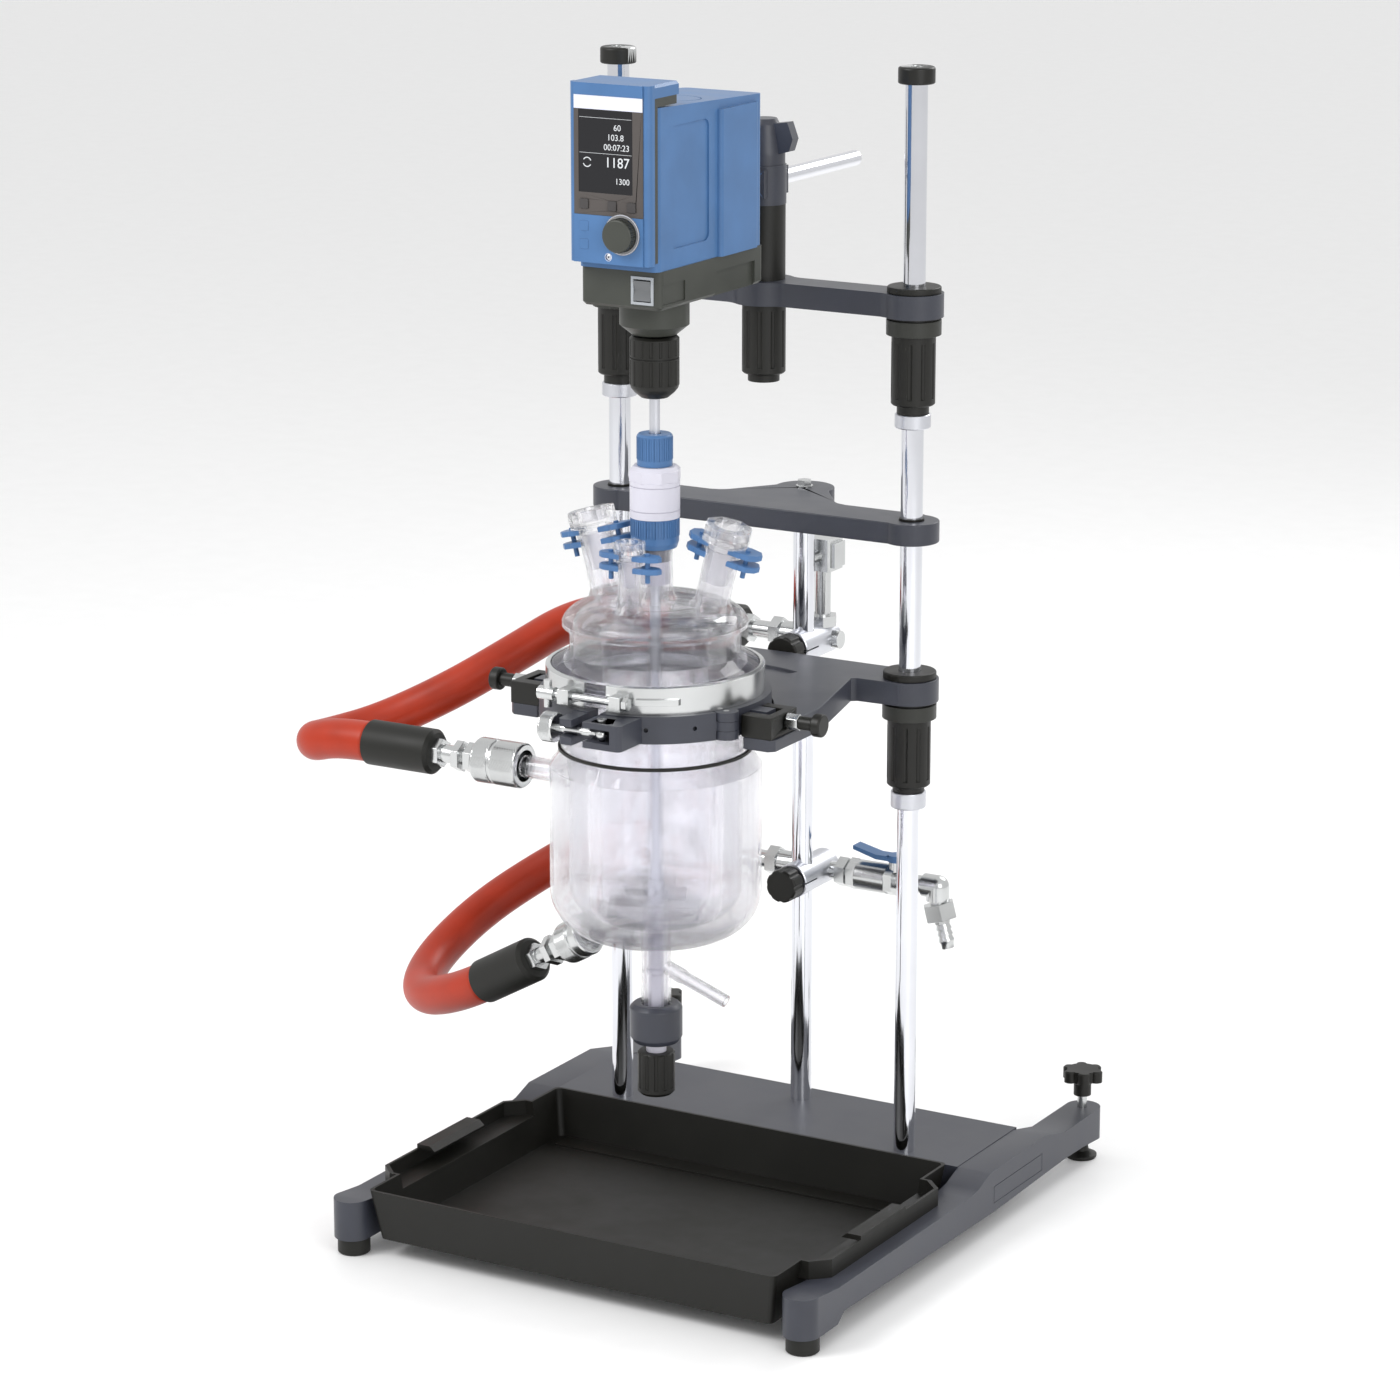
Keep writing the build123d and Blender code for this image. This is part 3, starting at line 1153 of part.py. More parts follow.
# Drain valve
def drain_ring():
    # Union ring round the flared foot of the drain neck, open at the top
    points = [(DRAIN_R + SEAT, DRAIN_RING_Z1), (DRAIN_RING_R - 4, DRAIN_RING_Z1),
              (DRAIN_RING_R, DRAIN_RING_Z1 - 4),
              (DRAIN_RING_R, DRAIN_RING_Z0 + 6), (DRAIN_RING_R - 4, DRAIN_RING_Z0), (12, DRAIN_RING_Z0),
              (12, DRAIN_Z0 - 2), (DRAIN_R + SEAT, DRAIN_Z0 - 2)]
    return spun(points, 0, AXIS_Y)


def drain_spindle():
    points = [(0, INNER_BOTTOM + 4), (SPINDLE_R, INNER_BOTTOM + 4), (SPINDLE_R, 288), (9.5, 286),
              (9.5, 283),
              (SPINDLE_R, 281), (SPINDLE_R, 232), (9.8, 230), (9.8, DRAIN_KNOB_Z1), (0, DRAIN_KNOB_Z1)]
    return spun(points, 0, AXIS_Y)


def drain_knob():
    knob = disc(DRAIN_KNOB_R, DRAIN_KNOB_Z0, DRAIN_KNOB_Z1)
    knob = chamfer(knob.edges().group_by(Axis.Z)[0], 3.0)
    knob = chamfer(knob.edges().group_by(Axis.Z)[-1], 1.5)
    for i in range(12):
        angle = math.radians(30 * i)
        x = (DRAIN_KNOB_R + 1.0) * math.cos(angle)
        y = (DRAIN_KNOB_R + 1.0) * math.sin(angle)
        knob = knob - disc(2.2, DRAIN_KNOB_Z0 + 7, DRAIN_KNOB_Z1 + 1, x, y)
    return at(0, AXIS_Y, 0) * knob


# Jacket fittings, drawn up +Z from the end of the glass nozzle
def union_nut(radius, back):
    body = disc(radius, -back, 28)
    body = chamfer(body.edges().group_by(Axis.Z)[0] + body.edges().group_by(Axis.Z)[-1], 1.5)
    groove = disc(radius + 1, 6, 8) - disc(radius - 1, 5, 9)
    return body - groove - disc(NOZZLE_R + 4.5, -back - 1, 2) - disc(9.5, 0, 30)


def hex_fitting():
    body = disc(9.3, 2, 30) + hexagon(27, 28.2, 40) + disc(8.5, 40, 46) + hexagon(27, 46, 54)
    body = body + disc(9.0, 54, 70) + hexagon(25, 70, FITTING_END) + disc(9.0, FITTING_END,
                                                                          FITTING_END + SLEEVE_END)
    return body - disc(6, 0, FITTING_END + SLEEVE_END + 1)


def sleeve_solid():
    body = disc(SLEEVE_R, 0, SLEEVE_LEN)
    body = chamfer(body.edges().group_by(Axis.Z)[0], 3.5)
    return body - disc(9.0, -1, SLEEVE_END)


def fitting_parts(line, glass_length, radius, back):
    # Union nut, hex fitting and hose sleeve on the line of one glass nozzle
    start, direction = line
    nut_at = point_on(line, glass_length + back)
    sleeve_at = point_on(line, glass_length + back + FITTING_END)
    nut = placed(union_nut(radius, back), nut_at, direction)
    fitting = placed(hex_fitting(), nut_at, direction)
    return nut, fitting, placed(sleeve_solid(), sleeve_at, direction)


def point_on(line, distance):
    start, direction = line
    return tuple(start[i] + direction[i] * distance for i in range(3))


# Hoses: centre points of the routes, from the sleeve on the vessel to the sleeve on the manifold
def upper_route():
    start = point_on(nozzle_upper_line(), NOZZLE_LEN + UPPER_NUT_BACK + FITTING_END + SLEEVE_LEN)
    first = point_on(nozzle_upper_line(), NOZZLE_LEN + UPPER_NUT_BACK + FITTING_END + SLEEVE_LEN + 39.0)
    return [start, first, (-405.0, -133.0, 456.0), (-414.0, -83.0, 448.0), (-380.0, -42.0, 458.0),
            (-322.0, -2.0, 490.0), (-281.0, 48.0, 521.0), (-246.0, 118.0, 552.0),
            (-217.0, 186.0, UPPER_PIPE_Z),
            (UPPER_SLEEVE_X - SLEEVE_LEN, PIPE_Y, UPPER_PIPE_Z)]


def lower_route():
    start = point_on(nozzle_lower_line(), LOWER_NOZZLE_LEN + LOWER_NUT_BACK + FITTING_END + SLEEVE_LEN)
    first = point_on(nozzle_lower_line(),
                     LOWER_NOZZLE_LEN + LOWER_NUT_BACK + FITTING_END + SLEEVE_LEN + 45.0)
    return [start, first, (-333.0, -54.0, 178.0), (-364.0, 12.0, 191.0), (-350.0, 86.0, 228.0),
            (-307.0, 144.0, 266.0), (-250.0, 186.0, LOWER_PIPE_Z),
            (LOWER_SLEEVE_X - SLEEVE_LEN, PIPE_Y, LOWER_PIPE_Z)]


def route_radii(points):
    radii = []
    for i in range(1, len(points) - 1):
        a = Vector(*points[i]) - Vector(*points[i - 1])
        b = Vector(*points[i + 1]) - Vector(*points[i])
        turn = math.radians(a.get_angle(b))
        radii.append(0.45 * min(a.length, b.length) / math.tan(turn / 2))
    return radii


def hose(points, name):
    radii = route_radii(points)
    print(name, "bend radii", [round(r, 1) for r in radii], "over diameter",
          round(min(radii) / 2 / HOSE_R, 2))
    path = FilletPolyline(*points, radius=radii)
    start = Plane(origin=path @ 0, z_dir=path % 0)
    tube = sweep(start * Circle(HOSE_R), path=path)
    print(name, "volume", round(tube.volume), "section x length",
          round(math.pi * HOSE_R ** 2 * path.length))
    return tube


def manifold_sleeve(x_end, z):
    # Sleeve with its closed end towards +X and the hose leaving towards -X
    return placed(sleeve_solid(), (x_end, PIPE_Y, z), (-1.0, 0.0, 0.0))


def clamp_block(z):
    body = along_y(CLAMP_CYL_R, 128, 200, 0, z)
    body = chamfer(body.edges().group_by(Axis.Y)[0] + body.edges().group_by(Axis.Y)[-1], 1.0)
    body = body - disc(ROD_R, z - 40, z + 40, 0, MID_ROD_Y)
    body = body - along_x(PIPE_R, -40, 40, PIPE_Y, z)
    return body - block(-20, 20, 124, MID_ROD_Y, z - 0.8, z + 0.8)


def clamp_knob(z):
    knob = along_y(KNOB_R, 106, 124, 0, z)
    knob = fillet(knob.edges().group_by(Axis.Y)[0], 2.5)
    for i in range(8):
        angle = math.radians(45 * i)
        knob = knob - along_y(3.5, 100, 130, (KNOB_R + 1.8) * math.cos(angle),
                              z + (KNOB_R + 1.8) * math.sin(angle))
    return knob + along_y(7, 123, 128 - RUN, 0, z)


def hex_x(across, x0, x1, y, z):
    radius = across / 2 / math.cos(math.pi / 6)
    return at(x0, y, z) * Rotation(0, 90, 0) * extrude(RegularPolygon(radius, 6), x1 - x0)


def lower_manifold():
    z = LOWER_PIPE_Z
    body = along_x(PIPE_R, LOWER_SLEEVE_X - SLEEVE_END, 126, PIPE_Y, z)
    body = body + hex_x(27, -56, -44, PIPE_Y, z) + hex_x(25, LOWER_SLEEVE_X, -108, PIPE_Y, z)
    body = body + hex_x(27, 25, 36, PIPE_Y, z) + along_x(12, -44, -18, PIPE_Y, z)
    return body + along_x(12, 122, 137, PIPE_Y, z) + at(137, PIPE_Y, z) * Sphere(12) + disc(12, z - 14, z,
                                                                                            137, PIPE_Y)


def valve_body():
    z = LOWER_PIPE_Z
    body = hex_x(29, 39, 48, PIPE_Y, z) + along_x(15.5, 48, 82, PIPE_Y, z) + hex_x(29, 82, 91, PIPE_Y, z)
    body = body + disc(8, z + 10, z + 20, LEVER_X, PIPE_Y)
    return body - along_x(PIPE_R, 30, 100, PIPE_Y, z)


def valve_lever():
    z = LOWER_PIPE_Z
    hub = disc(9, z + 20, z + 27, LEVER_X, PIPE_Y)
    bar = block(LEVER_X - 12, LEVER_X + 8, PIPE_Y - 8, PIPE_Y + 8, z + 21, z + 25)
    handle = [(LEVER_X - 8, z + 21), (LEVER_X - 20, z + 21), (LEVER_X - 46, z + 28), (LEVER_X - 46, z + 32),
              (LEVER_X - 20, z + 26), (LEVER_X - 8, z + 26)]
    grip_face = make_face(Polyline(*[(x, PIPE_Y - 8, q) for x, q in handle], close=True))
    return hub + bar + extrude(grip_face, 16, dir=(0, 1, 0))


def outlet_line():
    start = (137.0, PIPE_Y, LOWER_PIPE_Z - 14)
    return start, (0.258, 0.0, -0.966)


def outlet_barb():
    points = [(0, -2), (8, -2), (8, 24), (6.5, 24), (8.2, 30), (6.5, 30), (8.2, 36), (6.5, 36), (8.2, 42),
              (6.5, 46),
              (6.5, 50), (0, 50)]
    start, direction = outlet_line()
    return placed(spun(points) - disc(4, -3, 51), start, direction) - block(100, 150, 170, 200, start[2],
                                                                            320)


def outlet_nut():
    body = hexagon(OUTLET_NUT_W, 3, 20) - disc(8 + RUN, 2, 21)
    body = chamfer(body.edges().group_by(Axis.Z)[-1], 0.8)
    start, direction = outlet_line()
    return placed(body, start, direction)


def upper_manifold():
    z = UPPER_PIPE_Z
    body = along_x(PIPE_R, UPPER_SLEEVE_X - SLEEVE_END, 24, PIPE_Y, z)
    body = body + hex_x(27, -53, -42, PIPE_Y, z) + hex_x(25, UPPER_SLEEVE_X, -76, PIPE_Y, z)
    return body + along_x(12, -42, -18, PIPE_Y, z)


def riser():
    z = UPPER_PIPE_Z
    tube = hexagon(27, z + 13, z + 24, RISER_X, PIPE_Y) + disc(8, z + 24, 617, RISER_X, PIPE_Y)
    return tube - along_y(CLAMP_CYL_R, 120, 205, 0, z)


def riser_block():
    body = block(RISER_X - 15, RISER_X + 15, PIPE_Y - 15, PIPE_Y + 15, 617, 650)
    body = chamfer(body.edges().filter_by(Axis.Z), 2)
    body = body + block(RISER_X + 15, RISER_X + 19, PIPE_Y - 11, PIPE_Y + 11, 621, 646)
    cone = at(RISER_X, PIPE_Y - 15, 632) * Rotation(90, 0, 0) * Cone(7, 4, 14,
                                                                     align=(Align.CENTER, Align.CENTER,
                                                                            Align.MIN))
    return body + cone


def save(name, shape):
    shape.label = name
    export_step(shape, "parts/" + name + ".step")


def on_side(side, name):
    return name + ("_right" if side > 0 else "_left")


os.makedirs("parts", exist_ok=True)

# Stand
for hand in (-1, 1):
    knob_head, knob_screw = star_knob(hand)
    save(on_side(hand, "star_knob"), knob_head + knob_screw)
save("legs", group([leg(-1), leg(1)]))
save("cross_plate", cross_plate())
save("feet", group(list(front_feet().solids()) + list(levelling_feet().solids())))
save("rods", group([side_rod(-1), side_rod(1), middle_rod()] + list(stop_rings(STOP_Z0, STOP_Z1,
                                                                               0.0).solids())))
save("caps_and_fasteners",
     group(list(rod_caps().solids()) + list(cap_screws().solids()) + list(plate_bolts().solids())
                                 + [traverse_bolt()] + list(traverse_bushings().solids())))
save("traverse", traverse())
save("drip_tray", drip_tray())

# Manifolds
save("manifold_clamps", group([clamp_block(LOWER_PIPE_Z), clamp_block(UPPER_PIPE_Z)]))
save("lower_manifold", group([lower_manifold(), valve_body(), outlet_barb(), outlet_nut(),
                              manifold_sleeve(LOWER_SLEEVE_X, LOWER_PIPE_Z)]))
save("valve_lever", valve_lever())
save("upper_manifold", group([upper_manifold(), riser(), riser_block(),
                              manifold_sleeve(UPPER_SLEEVE_X, UPPER_PIPE_Z)]))
save("clamp_knob_lower", clamp_knob(LOWER_PIPE_Z))
save("clamp_knob_upper", clamp_knob(UPPER_PIPE_Z))

# Top carriage
top_z = ARM_Z0 - RING_H - COLLAR_H
save("top_arm", top_arm())
save("top_collars", group(list(hub_discs(ARM_Z1, DISC_Z1, ROD_R + SLIDE).solids())
                          + list(hub_rings(ARM_Z0, top_z, ROD_R + SLIDE).solids())))
for hand in (-1, 1):
    save(on_side(hand, "top_grip"), grip(top_z - GRIP_TOP_H, top_z, STOP_Z1, hand * ROD_X, ROD_Y,
                                         ROD_R + SLIDE))
save("column_grip", grip(835.7, ARM_Z0, 828.0, 0, ROD_Y, 6.0))
save("column", group([column_tube(), column_clamp(), mounting_rod()]))
save("wing_cap", wing_cap())
save("head_housing", head_housing())
save("head_lower", group([head_lower(), head_trim(), rocker_frame()]))
save("head_hood", head_hood())
save("head_panel", group([head_panel(), display(), knob_ring()]))
save("rocker_switch", rocker())
save("control_knob", control_knob())
for number, (px, pz) in enumerate(button_places(), 1):
    save("button_" + str(number), button(px, pz, BUTTON_W, 0.9))
for number, (px, pz) in enumerate(key_places(), 1):
    save("key_" + str(number), button(px, pz, KEY_W, 0.4))
save("chuck", chuck())
save("stirrer_shaft", stirrer_shaft())

# Vessel carriage
save("carrier_plate", carrier_plate())
save("carrier_collars", group(list(hub_discs(CARRIER_Z1, CARRIER_Z1 + 7.0, ROD_R + SLIDE).solids())
                              + list(hub_rings(CARRIER_Z0, VCOLLAR_Z0, ROD_R + SLIDE).solids())
                              + list(stop_rings(VRING_Z0, VGRIP_Z0, SLIDE).solids())))
for hand in (-1, 1):
    save(on_side(hand, "carrier_grip"),
         grip(VGRIP_Z0 + 6, VCOLLAR_Z0, VGRIP_Z0, hand * ROD_X, ROD_Y, ROD_R + SLIDE))
save("holder_blocks", group(list(holder_blocks().solids()) + list(plunger_housings().solids())))
for hand in (-1, 1):
    knob_body, knob_pin = plunger(hand)
    save(on_side(hand, "plunger"), knob_body + knob_pin)
save("holder_ring", group([holder_ring(), hinge_pin()]))
save("ring_segment", group([ring_segment(), bolt_pivot()]))
save("swing_bolt", group([swing_bolt(), thumb_nut()]))
save("glass_vessel", glass_vessel())
save("glass_lid", glass_lid())
save("clamp_band", group([clamp_band()] + list(o_ring().solids()) + list(gasket().solids())))
save("clamp_screw", clamp_screw())
save("seal_nut", seal_nut())
save("seal_body", seal_body())
save("seal_cap", seal_cap())
plugs = [at(FRONT_NECK_X, FRONT_NECK_Y, FRONT_NECK_Z1) * piece
         for piece in (stopper(FRONT_NECK_R, 26.0), clip(FRONT_NECK_R, 0.0))]
for hand in (-1, 1):
    lean = side_neck_direction(hand)
    mouth = point_on(((hand * SIDE_NECK_X, SIDE_NECK_Y, LID_TOP - SIDE_NECK_SINK), lean), SIDE_NECK_LEN)
    plugs.append(placed(stopper(SIDE_NECK_R, 34.0), mouth, lean))
    plugs.append(placed(clip(SIDE_NECK_R, 0.0), mouth, lean))
save("stoppers", group(plugs))
save("drain_ring", drain_ring())
save("drain_spindle", drain_spindle())
save("drain_knob", drain_knob())
upper_nut, upper_fitting, upper_sleeve = fitting_parts(nozzle_upper_line(), NOZZLE_LEN, NUT_R,
                                                       UPPER_NUT_BACK)
lower_nut, lower_fitting, lower_sleeve = fitting_parts(nozzle_lower_line(), LOWER_NOZZLE_LEN, LOWER_NUT_R,
                                                       LOWER_NUT_BACK)
save("hose_fittings", group([upper_nut, lower_nut, upper_fitting, lower_fitting]))
save("upper_hose", hose(upper_route(), "upper hose"))
save("lower_hose", hose(lower_route(), "lower hose"))
save("hose_sleeves", group([upper_sleeve, lower_sleeve]))
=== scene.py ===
import logging
import math
from dataclasses import dataclass, field
from enum import Enum
from typing import Callable, Dict, List, Sequence, Tuple

import bmesh
import bpy
from mathutils import Matrix, Vector


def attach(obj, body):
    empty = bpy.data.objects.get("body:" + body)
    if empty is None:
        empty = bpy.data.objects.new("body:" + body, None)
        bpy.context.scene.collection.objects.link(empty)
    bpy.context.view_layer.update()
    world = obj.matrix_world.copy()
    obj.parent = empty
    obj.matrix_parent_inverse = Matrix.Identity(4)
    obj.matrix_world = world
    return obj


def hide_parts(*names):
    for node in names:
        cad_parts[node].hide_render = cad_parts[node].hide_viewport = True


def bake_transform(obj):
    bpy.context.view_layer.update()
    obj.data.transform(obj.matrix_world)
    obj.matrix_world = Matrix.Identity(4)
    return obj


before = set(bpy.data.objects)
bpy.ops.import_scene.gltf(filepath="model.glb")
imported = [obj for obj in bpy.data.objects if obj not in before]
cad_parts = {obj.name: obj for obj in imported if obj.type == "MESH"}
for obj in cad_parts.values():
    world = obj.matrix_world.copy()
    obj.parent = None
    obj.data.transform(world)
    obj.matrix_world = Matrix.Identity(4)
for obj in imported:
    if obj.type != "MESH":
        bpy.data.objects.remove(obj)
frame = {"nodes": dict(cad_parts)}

LOG = logging.getLogger("synthesis_reactor")
MM = 0.001
Point = Tuple[float, float, float]
Colour = Tuple[float, float, float]


class Kind(Enum):
    """Families of surface that share one shader layout."""

    METAL = "metal"
    PAINT = "paint"
    PLASTIC = "plastic"
    RUBBER = "rubber"
    GLASS = "glass"


@dataclass(frozen=True)
class Finish:
    """One surface finish.

    Args:
        name: material name.
        kind: family of surface.
        colour: linear base colour.
        roughness: mean roughness.
        grain: size of the fine grain in cells per metre.
        depth: height of the fine grain in millimetres.
        mottle: how far the colour wanders, from 0 to 1.
        slot: material slot of the record, not used.
    """

    name: str
    kind: Kind
    colour: Colour
    roughness: float
    grain: float
    depth: float
    mottle: float
    slot: str


ANTHRACITE = Finish("anthracite_powder_coat", Kind.PAINT, (0.036, 0.039, 0.052), 0.40, 1400.0, 0.020, 0.10,
                    "anthracite")
BLACK = Finish("black_moulding", Kind.PLASTIC, (0.0062, 0.0060, 0.0042), 0.44, 1900.0, 0.022, 0.16, "black")
TRAY_BLACK = Finish("tray_moulding", Kind.PLASTIC, (0.0048, 0.0046, 0.0030), 0.50, 900.0, 0.030, 0.14,
                    "black")
CHROME = Finish("polished_rod", Kind.METAL, (0.74, 0.75, 0.79), 0.09, 260.0, 0.003, 0.03, "chrome")
STEEL = Finish("turned_stainless", Kind.METAL, (0.60, 0.61, 0.61), 0.22, 900.0, 0.006, 0.06, "steel")
SATIN = Finish("satin_aluminium", Kind.METAL, (0.62, 0.63, 0.67), 0.34, 1500.0, 0.008, 0.05, "steel")
BLUE = Finish("blue_moulding", Kind.PLASTIC, (0.062, 0.150, 0.320), 0.36, 1500.0, 0.014, 0.08, "blue")
GREY = Finish("olive_grey_moulding", Kind.PLASTIC, (0.042, 0.045, 0.038), 0.42, 1700.0, 0.018, 0.10, "grey")
DARK_GREY = Finish("dark_grey_moulding", Kind.PLASTIC, (0.024, 0.025, 0.021), 0.42, 1700.0, 0.018, 0.10,
                   "grey")
LIGHT_GREY = Finish("light_grey_key", Kind.PLASTIC, (0.22, 0.22, 0.22), 0.40, 1700.0, 0.010, 0.05, "grey")
TAUPE = Finish("panel_film", Kind.PLASTIC, (0.075, 0.066, 0.062), 0.34, 2200.0, 0.008, 0.05, "taupe")
KEY_TAUPE = Finish("panel_key", Kind.PLASTIC, (0.050, 0.046, 0.046), 0.38, 2200.0, 0.008, 0.05, "taupe")
SWITCH_RIM = Finish("switch_rim", Kind.PLASTIC, (0.34, 0.36, 0.38), 0.22, 1200.0, 0.002, 0.03, "grey")
SWITCH_GREY = Finish("switch_rocker", Kind.PLASTIC, (0.13, 0.135, 0.14), 0.24, 1200.0, 0.002, 0.03, "grey")
SCREEN = Finish("display_window", Kind.PLASTIC, (0.012, 0.012, 0.014), 0.12, 500.0, 0.001, 0.02, "taupe")
GLASS = Finish("borosilicate_glass", Kind.GLASS, (0.955, 0.950, 0.995), 0.012, 60.0, 0.004, 0.01, "glass")
GROUND = Finish("ground_glass", Kind.GLASS, (0.80, 0.80, 0.87), 0.45, 60.0, 0.004, 0.02, "glass")
BAND_GREY = Finish("joint_sleeve_grey", Kind.PLASTIC, (0.20, 0.20, 0.22), 0.40, 900.0, 0.006, 0.05, "white")
PRINT = Finish("display_print", Kind.PLASTIC, (0.62, 0.64, 0.66), 0.40, 900.0, 0.001, 0.01, "taupe")
PALE = Finish("pale_film", Kind.PLASTIC, (0.66, 0.68, 0.80), 0.30, 900.0, 0.001, 0.01, "taupe")
WHITE = Finish("fluoropolymer_white", Kind.PLASTIC, (0.58, 0.57, 0.64), 0.32, 900.0, 0.006, 0.04, "white")
ORANGE = Finish("orange_hose", Kind.RUBBER, (0.370, 0.026, 0.005), 0.40, 320.0, 0.040, 0.12, "orange")
RUBBER = Finish("black_rubber", Kind.RUBBER, (0.0090, 0.0090, 0.0070), 0.50, 1100.0, 0.030, 0.14, "rubber")
FLOOR = Finish("pale_floor", Kind.PAINT, (0.93, 0.93, 0.93), 0.55, 20.0, 0.004, 0.01, "")


class ShaderGroups:
    """Shared shader effects that output only colours, values and normals."""

    def __init__(self) -> None:
        self.grain = self._grain()
        self.mottle = self._mottle()

    @staticmethod
    def _new(name: str, inputs: Sequence[Tuple[str, str]],
             outputs: Sequence[Tuple[str, str]]) -> bpy.types.NodeTree:
        """Makes an empty group.

        Args:
            name: group name.
            inputs: pairs of socket name and socket type.
            outputs: pairs of socket name and socket type.

        Returns:
            The new node group.
        """
        tree = bpy.data.node_groups.new(name, "ShaderNodeTree")
        for label, kind in inputs:
            tree.interface.new_socket(name=label, in_out="INPUT", socket_type=kind)
        for label, kind in outputs:
            tree.interface.new_socket(name=label, in_out="OUTPUT", socket_type=kind)
        tree.nodes.new("NodeGroupInput").name = "in"
        tree.nodes.new("NodeGroupOutput").name = "out"
        return tree

    def _grain(self) -> bpy.types.NodeTree:
        """Fine surface grain: a two-scale height turned into a normal."""
        tree = self._new("fine_grain", [("Scale", "NodeSocketFloat"), ("Depth", "NodeSocketFloat")],
                         [("Normal", "NodeSocketVector"), ("Height", "NodeSocketFloat")])
        nodes, links = tree.nodes, tree.links
        coord = nodes.new("ShaderNodeTexCoord")
        fine = nodes.new("ShaderNodeTexNoise")
        coarse = nodes.new("ShaderNodeTexVoronoi")
        coarse.feature = "SMOOTH_F1"
        mix = nodes.new("ShaderNodeMath")
        mix.operation = "MULTIPLY_ADD"
        mix.inputs[1].default_value = 0.35
        bump = nodes.new("ShaderNodeBump")
        bump.inputs["Strength"].default_value = 0.55
        links.new(coord.outputs["Object"], fine.inputs["Vector"])
        links.new(coord.outputs["Object"], coarse.inputs["Vector"])
        links.new(nodes["in"].outputs["Scale"], fine.inputs["Scale"])
        links.new(nodes["in"].outputs["Scale"], coarse.inputs["Scale"])
        links.new(coarse.outputs["Distance"], mix.inputs[0])
        links.new(fine.outputs["Fac"], mix.inputs[2])
        links.new(mix.outputs[0], bump.inputs["Height"])
        links.new(nodes["in"].outputs["Depth"], bump.inputs["Distance"])
        links.new(bump.outputs["Normal"], nodes["out"].inputs["Normal"])
        links.new(mix.outputs[0], nodes["out"].inputs["Height"])
        return tree

    def _mottle(self) -> bpy.types.NodeTree:
        """Slow wandering of colour and roughness over a surface."""
        tree = self._new("slow_mottle", [("Colour", "NodeSocketColor"), ("Amount", "NodeSocketFloat"),
                                         ("Roughness", "NodeSocketFloat")],
                         [("Colour", "NodeSocketColor"), ("Roughness", "NodeSocketFloat")])
        nodes, links = tree.nodes, tree.links
        coord = nodes.new("ShaderNodeTexCoord")
        noise = nodes.new("ShaderNodeTexNoise")
        noise.inputs["Scale"].default_value = 24.0
        noise.inputs["Detail"].default_value = 5.0
        spread = nodes.new("ShaderNodeMapRange")
        spread.inputs["From Min"].default_value = 0.3
        spread.inputs["From Max"].default_value = 0.7
        spread.inputs["To Min"].default_value = -1.0
        spread.inputs["To Max"].default_value = 1.0
        amount = nodes.new("ShaderNodeMath")
        amount.operation = "MULTIPLY"
        bright = nodes.new("ShaderNodeMath")
        bright.operation = "MULTIPLY_ADD"
        bright.inputs[1].default_value = 1.0
        bright.inputs[2].default_value = 1.0
        tint = nodes.new("ShaderNodeVectorMath")
        tint.operation = "SCALE"
        rough = nodes.new("ShaderNodeMath")
        rough.operation = "MULTIPLY_ADD"
        rough.inputs[1].default_value = 0.35
        links.new(coord.outputs["Object"], noise.inputs["Vector"])
        links.new(noise.outputs["Fac"], spread.inputs["Value"])
        links.new(spread.outputs["Result"], amount.inputs[0])
        links.new(nodes["in"].outputs["Amount"], amount.inputs[1])
        links.new(amount.outputs[0], bright.inputs[0])
        links.new(nodes["in"].outputs["Colour"], tint.inputs[0])
        links.new(bright.outputs[0], tint.inputs["Scale"])
        links.new(tint.outputs["Vector"], nodes["out"].inputs["Colour"])
        links.new(amount.outputs[0], rough.inputs[0])
        links.new(nodes["in"].outputs["Roughness"], rough.inputs[2])
        links.new(rough.outputs[0], nodes["out"].inputs["Roughness"])
        return tree


